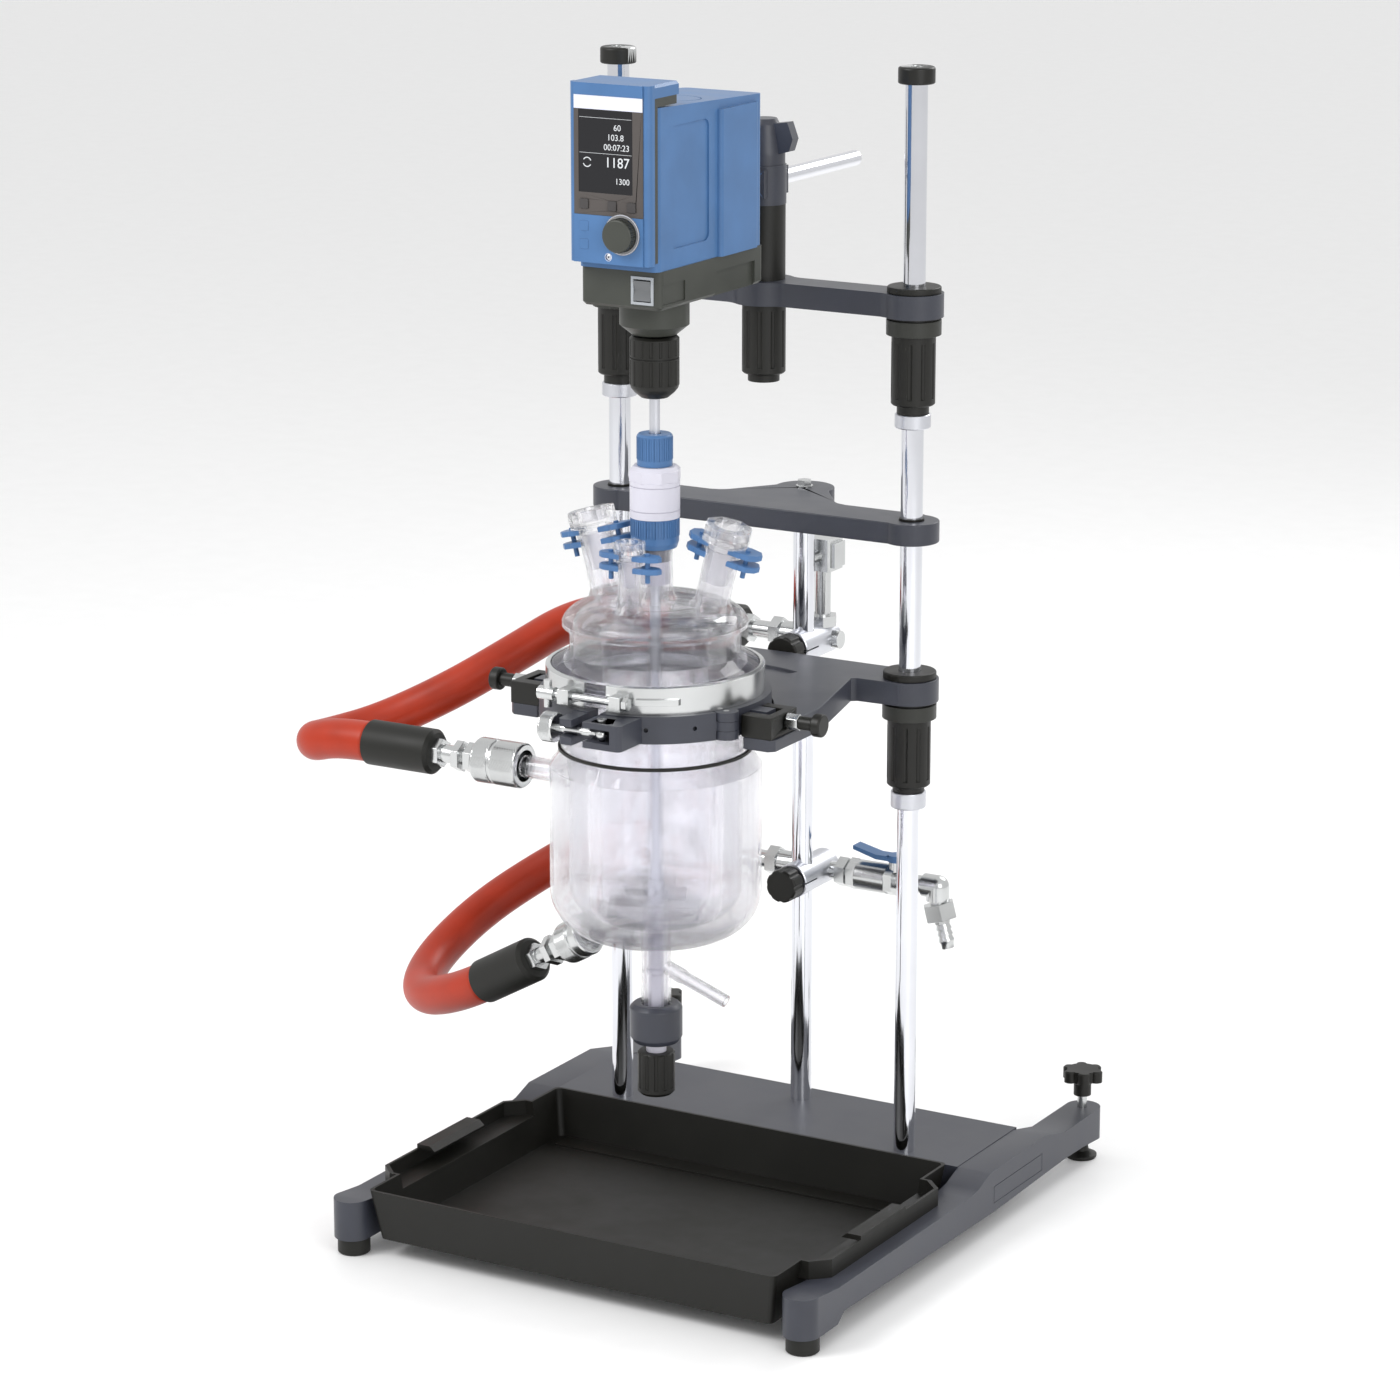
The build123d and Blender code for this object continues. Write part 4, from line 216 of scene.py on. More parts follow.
class FinishLibrary:
    """Builds each material once."""

    def __init__(self) -> None:
        self.groups = ShaderGroups()
        self.made: Dict[str, bpy.types.Material] = {}

    def material(self, finish: Finish) -> bpy.types.Material:
        """Returns the material of a finish.

        Args:
            finish: the finish to look up or build.

        Returns:
            The material with its shader nodes.
        """
        if finish.name in self.made:
            return self.made[finish.name]
        mat = bpy.data.materials.new(finish.name)
        mat.use_nodes = True
        nodes, links = mat.node_tree.nodes, mat.node_tree.links
        shader = nodes["Principled BSDF"]
        mottle = nodes.new("ShaderNodeGroup")
        mottle.node_tree = self.groups.mottle
        mottle.inputs["Colour"].default_value = (*finish.colour, 1.0)
        mottle.inputs["Amount"].default_value = finish.mottle
        mottle.inputs["Roughness"].default_value = finish.roughness
        grain = nodes.new("ShaderNodeGroup")
        grain.node_tree = self.groups.grain
        grain.inputs["Scale"].default_value = finish.grain
        grain.inputs["Depth"].default_value = finish.depth * MM
        links.new(mottle.outputs["Colour"], shader.inputs["Base Color"])
        links.new(mottle.outputs["Roughness"], shader.inputs["Roughness"])
        if finish.kind is not Kind.GLASS:
            links.new(grain.outputs["Normal"], shader.inputs["Normal"])
        shader.inputs["Metallic"].default_value = 1.0 if finish.kind is Kind.METAL else 0.0
        if finish.kind is Kind.GLASS:
            shader.inputs["Transmission Weight"].default_value = 1.0
            shader.inputs["IOR"].default_value = 1.47
            shader.inputs["Alpha"].default_value = 0.55
            shader.inputs["Specular IOR Level"].default_value = 0.7
        if finish.kind is Kind.PLASTIC:
            shader.inputs["Specular IOR Level"].default_value = 0.38
        if finish.kind is Kind.PAINT:
            shader.inputs["Specular IOR Level"].default_value = 0.40
            shader.inputs["Coat Weight"].default_value = 0.15
            shader.inputs["Coat Roughness"].default_value = 0.3
        if finish.kind is Kind.RUBBER:
            shader.inputs["Specular IOR Level"].default_value = 0.34
            shader.inputs["Sheen Weight"].default_value = 0.02
        mat.diffuse_color = (*finish.colour, 1.0)
        self.made[finish.name] = mat
        return mat


Rule = Tuple[Finish, Callable[[Vector], bool]]


def below(height: float) -> Callable[[Vector], bool]:
    """Test for faces whose centre lies under a height in millimetres."""
    return lambda c: c.z < height * MM


def box_test(x0: float, x1: float, y0: float, y1: float, z0: float, z1: float) -> Callable[[Vector], bool]:
    """Test for faces whose centre lies inside a box given in millimetres."""
    return lambda c: (x0 * MM <= c.x <= x1 * MM and y0 * MM <= c.y <= y1 * MM and z0 * MM <= c.z <= z1 * MM)


def ring_test(x: float, y: float, radius: float) -> Callable[[Vector], bool]:
    """Test for faces within a radius of an upright axis, in millimetres."""
    return lambda c: math.hypot(c.x - x * MM, c.y - y * MM) <= radius * MM


@dataclass
class NodeFinish:
    """How one CAD node is painted.

    Args:
        node: node name.
        finish: finish of faces that no rule claims.
        rules: finishes with the test that claims a face, first match wins.
        bevel: edge rounding in millimetres, 0 for none.
    """

    node: str
    finish: Finish
    rules: List[Rule] = field(default_factory=list)
    bevel: float = 0.5


class NodePainter:
    """Gives the CAD nodes their materials, smooth shading and edge rounding."""

    def __init__(self, library: FinishLibrary, nodes: Dict[str, bpy.types.Object]) -> None:
        self.library = library
        self.nodes = nodes

    def paint(self, job: NodeFinish) -> None:
        """Paints one node.

        Args:
            job: the node and its finishes.
        """
        obj = self.nodes[job.node]
        mesh = obj.data
        mesh.materials.clear()
        finishes = [job.finish]
        for finish, _ in job.rules:
            if finish not in finishes:
                finishes.append(finish)
        for finish in finishes:
            mesh.materials.append(self.library.material(finish))
        for polygon in mesh.polygons:
            polygon.material_index = 0
            for finish, test in job.rules:
                if test(polygon.center):
                    polygon.material_index = finishes.index(finish)
                    break
        mesh.set_sharp_from_angle(angle=math.radians(32))
        if job.bevel > 0:
            weld = obj.modifiers.new("weld", "WELD")
            weld.merge_threshold = 0.00001
            bevel = obj.modifiers.new("edge_round", "BEVEL")
            bevel.width = job.bevel * MM
            bevel.segments = 2
            bevel.limit_method = "ANGLE"
            bevel.angle_limit = math.radians(38)
            bevel.use_clamp_overlap = True
            bevel.harden_normals = True
            even = obj.modifiers.new("even_shading", "WEIGHTED_NORMAL")
            even.keep_sharp = True
            even.weight = 80


def node_finishes() -> List[NodeFinish]:
    """Lists the finish of every CAD node that stays visible."""
    anywhere_mid = box_test(-20, 20, 130, 175, 680, 720)
    necks = (((2.0, -190.0, 700.0), 0.0, 10.85), (side_mouth(-1), -14.0, 16.5), (side_mouth(1), 14.0, 16.5))
    sleeve_low = box_test(-195, -117.9, 160, 212, 278, 328)
    sleeve_up = box_test(-164, -86.9, 160, 212, 520, 571)

    def gasket(centre: Vector) -> bool:
        """Test for the white gasket between the two glass flanges."""
        return 0.5789 < centre.z < 0.5801 and math.hypot(centre.x, centre.y + 0.14) < 0.0985

    jobs = [
        NodeFinish("legs", ANTHRACITE, bevel=1.6),
        NodeFinish("cross_plate", ANTHRACITE, bevel=1.0),
        NodeFinish("feet", RUBBER),
        NodeFinish("rods", CHROME, [(SATIN, box_test(-185, 185, 40, 90, 797, 812))], bevel=0.3),
        NodeFinish("caps_and_fasteners", BLACK, [(STEEL, box_test(-171, 171, 60, 76, 1134.2, 1150)),
                                                 (STEEL, anywhere_mid), (STEEL, below(45))], bevel=0.4),
        NodeFinish("traverse", ANTHRACITE, bevel=1.2),
        NodeFinish("drip_tray", TRAY_BLACK, bevel=0.8),
        NodeFinish("manifold_clamps", SATIN),
        NodeFinish("lower_manifold", STEEL, [(RUBBER, sleeve_low)], bevel=0.4),
        NodeFinish("upper_manifold", STEEL, [(RUBBER, sleeve_up)], bevel=0.4),
        NodeFinish("valve_lever", BLUE, bevel=0.6),
        NodeFinish("clamp_knob_lower", BLACK),
        NodeFinish("clamp_knob_upper", BLACK),
        NodeFinish("star_knob_left", BLACK, [(STEEL, below(67.9))], bevel=0.8),
        NodeFinish("star_knob_right", BLACK, [(STEEL, below(67.9))], bevel=0.8),
        NodeFinish("top_arm", ANTHRACITE, bevel=1.2),
        NodeFinish("top_collars", BLACK, [(DARK_GREY, below(902.6))]),
        NodeFinish("top_grip_left", BLACK),
        NodeFinish("top_grip_right", BLACK),
        NodeFinish("column_grip", BLACK),
        NodeFinish("column", ANTHRACITE, [(CHROME, box_test(-8.3, 8.3, -12, 260, 1014, 1031)),
                                          (BLACK, below(1000.9))]),
        NodeFinish("wing_cap", ANTHRACITE, bevel=1.2),
        NodeFinish("head_housing", BLUE, bevel=1.0),
        NodeFinish("head_lower", GREY, [(SWITCH_RIM, box_test(11, 36, -203, -188.5, 943, 970)),
                                        (GREY, below(975.1))], bevel=0.8),
        NodeFinish("head_hood", BLUE, bevel=1.0),
        NodeFinish("head_panel", TAUPE, [(LIGHT_GREY, box_test(-5, 34, -224, -221.9, 990, 1029.5)),
                                         (SCREEN,
                                          box_test(-31.6, 25.6, -221.3, -219, 1046.4, 1122.1))], bevel=0.2),
        NodeFinish("rocker_switch", SWITCH_GREY, bevel=0.4),
        NodeFinish("control_knob", GREY, bevel=0.3),
        NodeFinish("chuck", BLACK),
        NodeFinish("stirrer_shaft", SATIN, bevel=0.3),
        NodeFinish("carrier_plate", ANTHRACITE, bevel=1.2),
        NodeFinish("carrier_collars", BLACK, [(SATIN, below(437.1)), (DARK_GREY, below(525.6))]),
        NodeFinish("carrier_grip_left", BLACK),
        NodeFinish("carrier_grip_right", BLACK),
        NodeFinish("holder_blocks", BLACK, [(STEEL, lambda c: abs(c.x) > 0.14302)], bevel=0.8),
        NodeFinish("plunger_left", BLACK, [(STEEL, lambda c: c.x > -0.157)], bevel=0.5),
        NodeFinish("plunger_right", BLACK, [(STEEL, lambda c: c.x < 0.157)], bevel=0.5),
        NodeFinish("holder_ring", ANTHRACITE, [(STEEL, ring_test(101, -181, 3.0))], bevel=0.8),
        NodeFinish("ring_segment", ANTHRACITE, [(STEEL, ring_test(20, -271, 2.55)),
                                                (STEEL,
                                                 box_test(15, 25, -276, -266, 565.1, 570))], bevel=0.8),
        NodeFinish("swing_bolt", STEEL, bevel=0.3),
        NodeFinish("glass_vessel", GLASS, bevel=0.0),
        NodeFinish("glass_lid", GLASS, bevel=0.0),
        NodeFinish("clamp_band", STEEL, [(RUBBER, below(520)), (WHITE, gasket)], bevel=0.2),
        NodeFinish("clamp_screw", STEEL, bevel=0.4),
        NodeFinish("seal_nut", BLUE, bevel=0.4),
        NodeFinish("seal_body", WHITE, bevel=0.5),
        NodeFinish("seal_cap", BLUE, bevel=0.4),
        NodeFinish("stoppers", GLASS, [(BLUE, neck_test(*neck)) for neck in necks]
                   + [(GROUND, plug_test(*neck)) for neck in necks], bevel=0.2),
        NodeFinish("drain_ring", ANTHRACITE, bevel=0.8),
        NodeFinish("drain_spindle", WHITE, bevel=0.3),
        NodeFinish("drain_knob", BLACK, bevel=0.6),
        NodeFinish("hose_fittings", STEEL, bevel=0.4),
        NodeFinish("hose_sleeves", RUBBER, bevel=0.6),
    ]
    jobs += [NodeFinish(f"button_{number}", KEY_TAUPE, bevel=0.3) for number in (1, 2, 3)]
    jobs += [NodeFinish(f"key_{number}", BLUE, bevel=0.3) for number in (1, 2)]
    return jobs


def mesh_object(name: str, verts: Sequence[Sequence[float]], faces: Sequence[Sequence[int]],
                material: bpy.types.Material, smooth: bool = True) -> bpy.types.Object:
    """Makes a mesh object at the origin.

    Args:
        name: object name.
        verts: corners in metres.
        faces: corner numbers of each face.
        material: its material.
        smooth: True for smooth shading.

    Returns:
        The linked object.
    """
    mesh = bpy.data.meshes.new(name)
    mesh.from_pydata([tuple(v) for v in verts], [], [tuple(f) for f in faces])
    mesh.materials.append(material)
    mesh.validate()
    for polygon in mesh.polygons:
        polygon.use_smooth = smooth
    obj = bpy.data.objects.new(name, mesh)
    bpy.context.scene.collection.objects.link(obj)
    return obj


@dataclass(frozen=True)
class HoseRoute:
    """Route of one insulated hose.

    Args:
        node: CAD node that it replaces.
        points: control points in millimetres, vessel end first.
        radius: outer radius in millimetres.
    """

    node: str
    points: Tuple[Point, ...]
    radius: float


UPPER_HOSE = HoseRoute("upper_hose", (
    (-325.0, -140.0, 468.0), (-364.0, -140.0, 468.0), (-405.0, -133.0, 456.0), (-414.0, -83.0, 448.0),
    (-380.0, -42.0, 458.0), (-322.0, -2.0, 490.0), (-281.0, 48.0, 521.0), (-246.0, 118.0, 552.0),
    (-217.0, 186.0, 545.5), (-163.0, 186.0, 545.5)), 20.0)


def lower_direction() -> Point:
    """Direction of the slanted lower nozzle, away from the vessel."""
    fall, turn = math.radians(29.3), math.radians(10.0)
    return (-math.cos(fall) * math.cos(turn), math.cos(fall) * math.sin(turn), -math.sin(fall))


def lower_line(reach: float) -> Point:
    """Point on the axis of the lower nozzle.

    Args:
        reach: distance from the root of the nozzle in millimetres.

    Returns:
        The point in millimetres.
    """
    turn = math.radians(10.0)
    start = (-50.0 * math.cos(turn), -140.0 + 50.0 * math.sin(turn), 323.8)
    return tuple(a + b * reach for a, b in zip(start, lower_direction()))


NOZZLE_END = 41.3 + 4.0
SLEEVE_BACK = 78.0 + 76.0


def lower_points() -> Tuple[Point, ...]:
    """Control points of the lower hose, starting on the slanted nozzle line."""
    reach = NOZZLE_END + SLEEVE_BACK
    return (lower_line(reach), lower_line(reach + 45.0), (-333.0, -54.0, 178.0), (-364.0, 12.0, 191.0),
            (-350.0, 86.0, 228.0),
            (-307.0, 144.0, 266.0), (-250.0, 186.0, 303.0), (-194.0, 186.0, 303.0))


class HoseSet:
    """The two insulated hoses between the vessel and the stand."""

    def __init__(self, library: FinishLibrary) -> None:
        self.library = library

    @staticmethod
    def centre_line(route: HoseRoute) -> List[Vector]:
        """Reads the points of the smooth centre line.

        Args:
            route: the hose route.

        Returns:
            Points in metres, vessel end first.
        """
        curve = bpy.data.curves.new(route.node + "_line", "CURVE")
        curve.dimensions = "3D"
        curve.resolution_u = 12
        spline = curve.splines.new("NURBS")
        spline.points.add(len(route.points) - 1)
        for point, place in zip(spline.points, route.points):
            point.co = (*[c * MM for c in place], 1.0)
        spline.order_u = 3
        spline.use_endpoint_u = True
        holder = bpy.data.objects.new(route.node + "_line", curve)
        bpy.context.scene.collection.objects.link(holder)
        bpy.context.view_layer.update()
        line = bpy.data.meshes.new_from_object(holder.evaluated_get(bpy.context.evaluated_depsgraph_get()))
        points = [v.co.copy() for v in line.vertices]
        bpy.data.meshes.remove(line)
        bpy.data.objects.remove(holder)
        bpy.data.curves.remove(curve)
        return points

    def build(self, route: HoseRoute) -> bpy.types.Object:
        """Args:
            route: the hose route.

        Returns:
            The tube object.
        """
        points = self.centre_line(route)
        sides = 40
        verts: List[Vector] = []
        faces: List[Tuple[int, ...]] = []
        tangent = (points[1] - points[0]).normalized()
        normal = tangent.cross(Vector((0, 0, 1))).normalized()
        for i, point in enumerate(points):
            ahead = points[min(i + 1, len(points) - 1)] - points[max(i - 1, 0)]
            new_tangent = ahead.normalized()
            normal = (tangent.rotation_difference(new_tangent) @ normal).normalized()
            tangent = new_tangent
            side = tangent.cross(normal)
            for k in range(sides):
                angle = 2 * math.pi * k / sides
                verts.append(point + (normal * math.cos(angle) + side * math.sin(angle)) * route.radius * MM)
        for i in range(len(points) - 1):
            for k in range(sides):
                a = i * sides + k
                b = i * sides + (k + 1) % sides
                faces.append((a, b, b + sides, a + sides))
        faces.append(tuple(reversed(range(sides))))
        faces.append(tuple(range((len(points) - 1) * sides, len(points) * sides)))
        tube = mesh_object(route.node + "_tube", verts, faces, self.library.material(ORANGE))
        fix_normals(tube)
        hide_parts(route.node)
        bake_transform(tube)
        return tube


def fix_normals(obj: bpy.types.Object) -> None:
    """Turns the faces of a closed mesh outwards.

    Args:
        obj: mesh object.
    """
    work = bmesh.new()
    work.from_mesh(obj.data)
    bmesh.ops.recalc_face_normals(work, faces=work.faces)
    work.to_mesh(obj.data)
    work.free()


def neck_test(mouth: Point, lean: float, radius: float) -> Callable[[Vector], bool]:
    """Test for faces of the joint clip on one glass neck.

    Args:
        mouth: centre of the mouth of the neck in millimetres.
        lean: lean in degrees towards +X.
        radius: radius of the neck in millimetres.

    Returns:
        The test.
    """
    axis = Vector((math.sin(math.radians(lean)), 0.0, math.cos(math.radians(lean))))
    origin = Vector(mouth)

    def test(centre: Vector) -> bool:
        offset = centre / MM - origin
        height = offset.dot(axis)
        reach = (offset - axis * height).length
        if reach > 4 * radius:
            return False
        return (reach > radius - 0.3 and height < 5.9) or (reach > radius + 6.6 and height < 8.2)

    return test


def plug_test(mouth: Point, lean: float, radius: float) -> Callable[[Vector], bool]:
    """Test for the ground plug of the stopper in one glass neck.

    Args:
        mouth: centre of the mouth of the neck in millimetres.
        lean: lean in degrees towards +X.
        radius: radius of the neck in millimetres.

    Returns:
        The test.
    """
    axis = Vector((math.sin(math.radians(lean)), 0.0, math.cos(math.radians(lean))))
    origin = Vector(mouth)

    def test(centre: Vector) -> bool:
        offset = centre / MM - origin
        height = offset.dot(axis)
        return height < -0.5 and (offset - axis * height).length < radius - 2.3

    return test


def side_mouth(side: int) -> Point:
    """Centre of the mouth of a leaning side neck in millimetres."""
    lean = math.radians(14.0)
    return (side * (56.0 + 59.0 * math.sin(lean)), -132.0, 650.0 + 59.0 * math.cos(lean))


@dataclass(frozen=True)
class RibRing:
    """A ring of equal ribs round a turned collar.

    Args:
        name: piece name.
        body: CAD body that it moves with.
        finish: finish of the ribs.
        count: number of ribs.
        radius: radius to the middle of a rib in millimetres.
        width: width of a rib in millimetres.
        depth: radial depth of a rib in millimetres.
        height: length of a rib along the axis in millimetres.
        centre: middle of the ring in millimetres.
        direction: axis of the ring.
    """

    name: str
    body: str
    finish: Finish
    count: int
    radius: float
    width: float
    depth: float
    height: float
    centre: Point
    direction: Point = (0.0, 0.0, 1.0)


class RibMaker:
    """Makes rib rings with one shared Geometry Nodes group."""

    def __init__(self, library: FinishLibrary) -> None:
        self.library = library
        self.tree, self.sockets = self._tree()

    @staticmethod
    def _tree() -> Tuple[bpy.types.NodeTree, Dict[str, str]]:
        """Builds the group: ribs instanced round a circle, realised and given their material."""
        tree = bpy.data.node_groups.new("rib_ring", "GeometryNodeTree")
        sockets: Dict[str, str] = {}
        tree.interface.new_socket(name="Geometry", in_out="INPUT", socket_type="NodeSocketGeometry")
        for label, kind in (("Count", "NodeSocketInt"), ("Radius", "NodeSocketFloat"),
                            ("Size", "NodeSocketVector"),
                            ("Material", "NodeSocketMaterial")):
            sockets[label] = tree.interface.new_socket(name=label, in_out="INPUT",
                                                       socket_type=kind).identifier
        tree.interface.new_socket(name="Geometry", in_out="OUTPUT", socket_type="NodeSocketGeometry")
        nodes, links = tree.nodes, tree.links
        group_in = nodes.new("NodeGroupInput")
        group_out = nodes.new("NodeGroupOutput")
        circle = nodes.new("GeometryNodeMeshCircle")
        rib = nodes.new("GeometryNodeMeshCube")
        place = nodes.new("GeometryNodeInstanceOnPoints")
        position = nodes.new("GeometryNodeInputPosition")
        align = nodes.new("FunctionNodeAlignRotationToVector")
        align.axis = "X"
        realise = nodes.new("GeometryNodeRealizeInstances")
        paint = nodes.new("GeometryNodeSetMaterial")
        links.new(group_in.outputs["Count"], circle.inputs["Vertices"])
        links.new(group_in.outputs["Radius"], circle.inputs["Radius"])
        links.new(group_in.outputs["Size"], rib.inputs["Size"])
        links.new(circle.outputs["Mesh"], place.inputs["Points"])
        links.new(rib.outputs["Mesh"], place.inputs["Instance"])
        links.new(position.outputs["Position"], align.inputs["Vector"])
        links.new(align.outputs["Rotation"], place.inputs["Rotation"])
        links.new(place.outputs["Instances"], realise.inputs["Geometry"])
        links.new(realise.outputs["Geometry"], paint.inputs["Geometry"])
        links.new(group_in.outputs["Material"], paint.inputs["Material"])
        links.new(paint.outputs["Geometry"], group_out.inputs["Geometry"])
        return tree, sockets

    def build(self, ring: RibRing) -> bpy.types.Object:
        """Makes one ring of ribs.

        Args:
            ring: sizes and place of the ring.

        Returns:
            The finished object.
        """
        holder = bpy.data.objects.new(ring.name + "_maker", bpy.data.meshes.new(ring.name + "_seed"))
        bpy.context.scene.collection.objects.link(holder)
        modifier = holder.modifiers.new("ribs", "NODES")
        modifier.node_group = self.tree
        modifier[self.sockets["Count"]] = ring.count
        modifier[self.sockets["Radius"]] = ring.radius * MM
        modifier[self.sockets["Size"]] = (ring.depth * MM, ring.width * MM, ring.height * MM)
        modifier[self.sockets["Material"]] = self.library.material(ring.finish)
        bpy.context.view_layer.update()
        mesh = bpy.data.meshes.new_from_object(holder.evaluated_get(bpy.context.evaluated_depsgraph_get()))
        holder.modifiers.remove(modifier)
        bpy.data.objects.remove(holder)
        turn = Vector((0, 0, 1)).rotation_difference(Vector(ring.direction)).to_matrix().to_4x4()
        mesh.transform(Matrix.Translation(Vector(ring.centre) * MM) @ turn)
        mesh.name = ring.name
        obj = bpy.data.objects.new(ring.name, mesh)
        bpy.context.scene.collection.objects.link(obj)
        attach(obj, ring.body)
        return obj


def rib_rings() -> List[RibRing]:
    """Lists the ribbed collars."""
    return [
        RibRing("seal_cap_ribs", "cap", BLUE, 44, 16.75, 1.1, 0.9, 21.0, (0.0, -140.0, 798.0)),
        RibRing("seal_nut_ribs", "seal_ring", BLUE, 52, 22.8, 1.3, 1.1, 16.0, (0.0, -140.0, 722.5)),
        RibRing("dial_ribs", "dial", DARK_GREY, 48, 15.2, 0.8, 0.7, 7.0, (14.5, -227.5, 1010.0),
                (0.0, 1.0, 0.0)),
    ]


@dataclass(frozen=True)
class KnurlBand:
    """A diamond knurled band.

    Args:
        name: piece name.
        centre: start of the band in millimetres.
        direction: axis of the band.
        radius: mean radius in millimetres.
        length: length in millimetres.
        pitch: size of one diamond in millimetres.
        body: CAD body that it moves with.
    """

    name: str
    centre: Point
    direction: Point
    radius: float
    length: float
    pitch: float
    body: str


class KnurlMaker:
    """Makes closed shells with a raised diamond pattern."""

    def __init__(self, library: FinishLibrary) -> None:
        self.library = library

    def build(self, band: KnurlBand) -> bpy.types.Object:
        """Makes one knurled shell.

        Args:
            band: sizes and place.

        Returns:
            The finished object.
        """
        around = 2 * round(math.pi * band.radius / band.pitch)
        rows = max(4, 2 * round(band.length / band.pitch))
        axis = Vector(band.direction).normalized()
        side = axis.orthogonal().normalized()
        other = axis.cross(side)
        verts: List[Vector] = []
        faces: List[Tuple[int, ...]] = []
        start = Vector(band.centre)
        stations = list(range(rows + 1)) + [rows, 0]
        for row, station in enumerate(stations):
            place = start + axis * (band.length * station / rows)
            for k in range(around):
                angle = 2 * math.pi * k / around
                spoke = side * math.cos(angle) + other * math.sin(angle)
                raised = 0.32 if 0 < row < rows and (row + k) % 2 == 0 else 0.0
                radius = band.radius + (raised if row <= rows else -0.6)
                verts.append((place + spoke * radius) * MM)
        total = len(stations)
        for i in range(total):
            for k in range(around):
                a = (i % total) * around + k
                b = (i % total) * around + (k + 1) % around
                c = ((i + 1) % total) * around + (k + 1) % around
                d = ((i + 1) % total) * around + k
                faces.append((a, b, c))
                faces.append((a, c, d))
        obj = mesh_object(band.name, verts, faces, self.library.material(STEEL), smooth=False)
        fix_normals(obj)
        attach(obj, band.body)
        return obj


def knurl_bands() -> List[KnurlBand]:
    """Lists the knurled bands of the union nuts and the thumb nut."""
    vessel = "vessel_carriage"
    left = (-1.0, 0.0, 0.0)
    return [
        KnurlBand("union_knurl_outer", (-149.0, -140.0, 468.0), left, 22.1, 27.0, 1.9, vessel),
        KnurlBand("union_knurl_inner", (-180.0, -140.0, 468.0), left, 22.1, 17.0, 1.9, vessel),
        KnurlBand("lower_union_knurl", lower_line(NOZZLE_END + 9.5), lower_direction(), 20.6, 16.5, 1.9,
                  vessel),
        KnurlBand("thumb_nut_knurl", (-41.2, -271.0, 553.0), (1.0, 0.0, 0.0), 14.1, 12.0, 1.3, "bolt"),
    ]


@dataclass(frozen=True)
class PanelSizes:
    """Sizes of the front panel of the stirrer head in millimetres.

    Args:
        front: y of the print on the display window.
        film: y of the print on the panel film.
        screen: left, right, bottom and top of the window.
        strip: left, right, bottom and top of the bare pale strip over the window.
    """

    front: float = -221.32
    film: float = -221.62
    screen: Tuple[float, float, float, float] = (-31.5, 25.5, 1046.5, 1122.0)
    strip: Tuple[float, float, float, float] = (-36.3, 36.3, 1122.4, 1134.8)


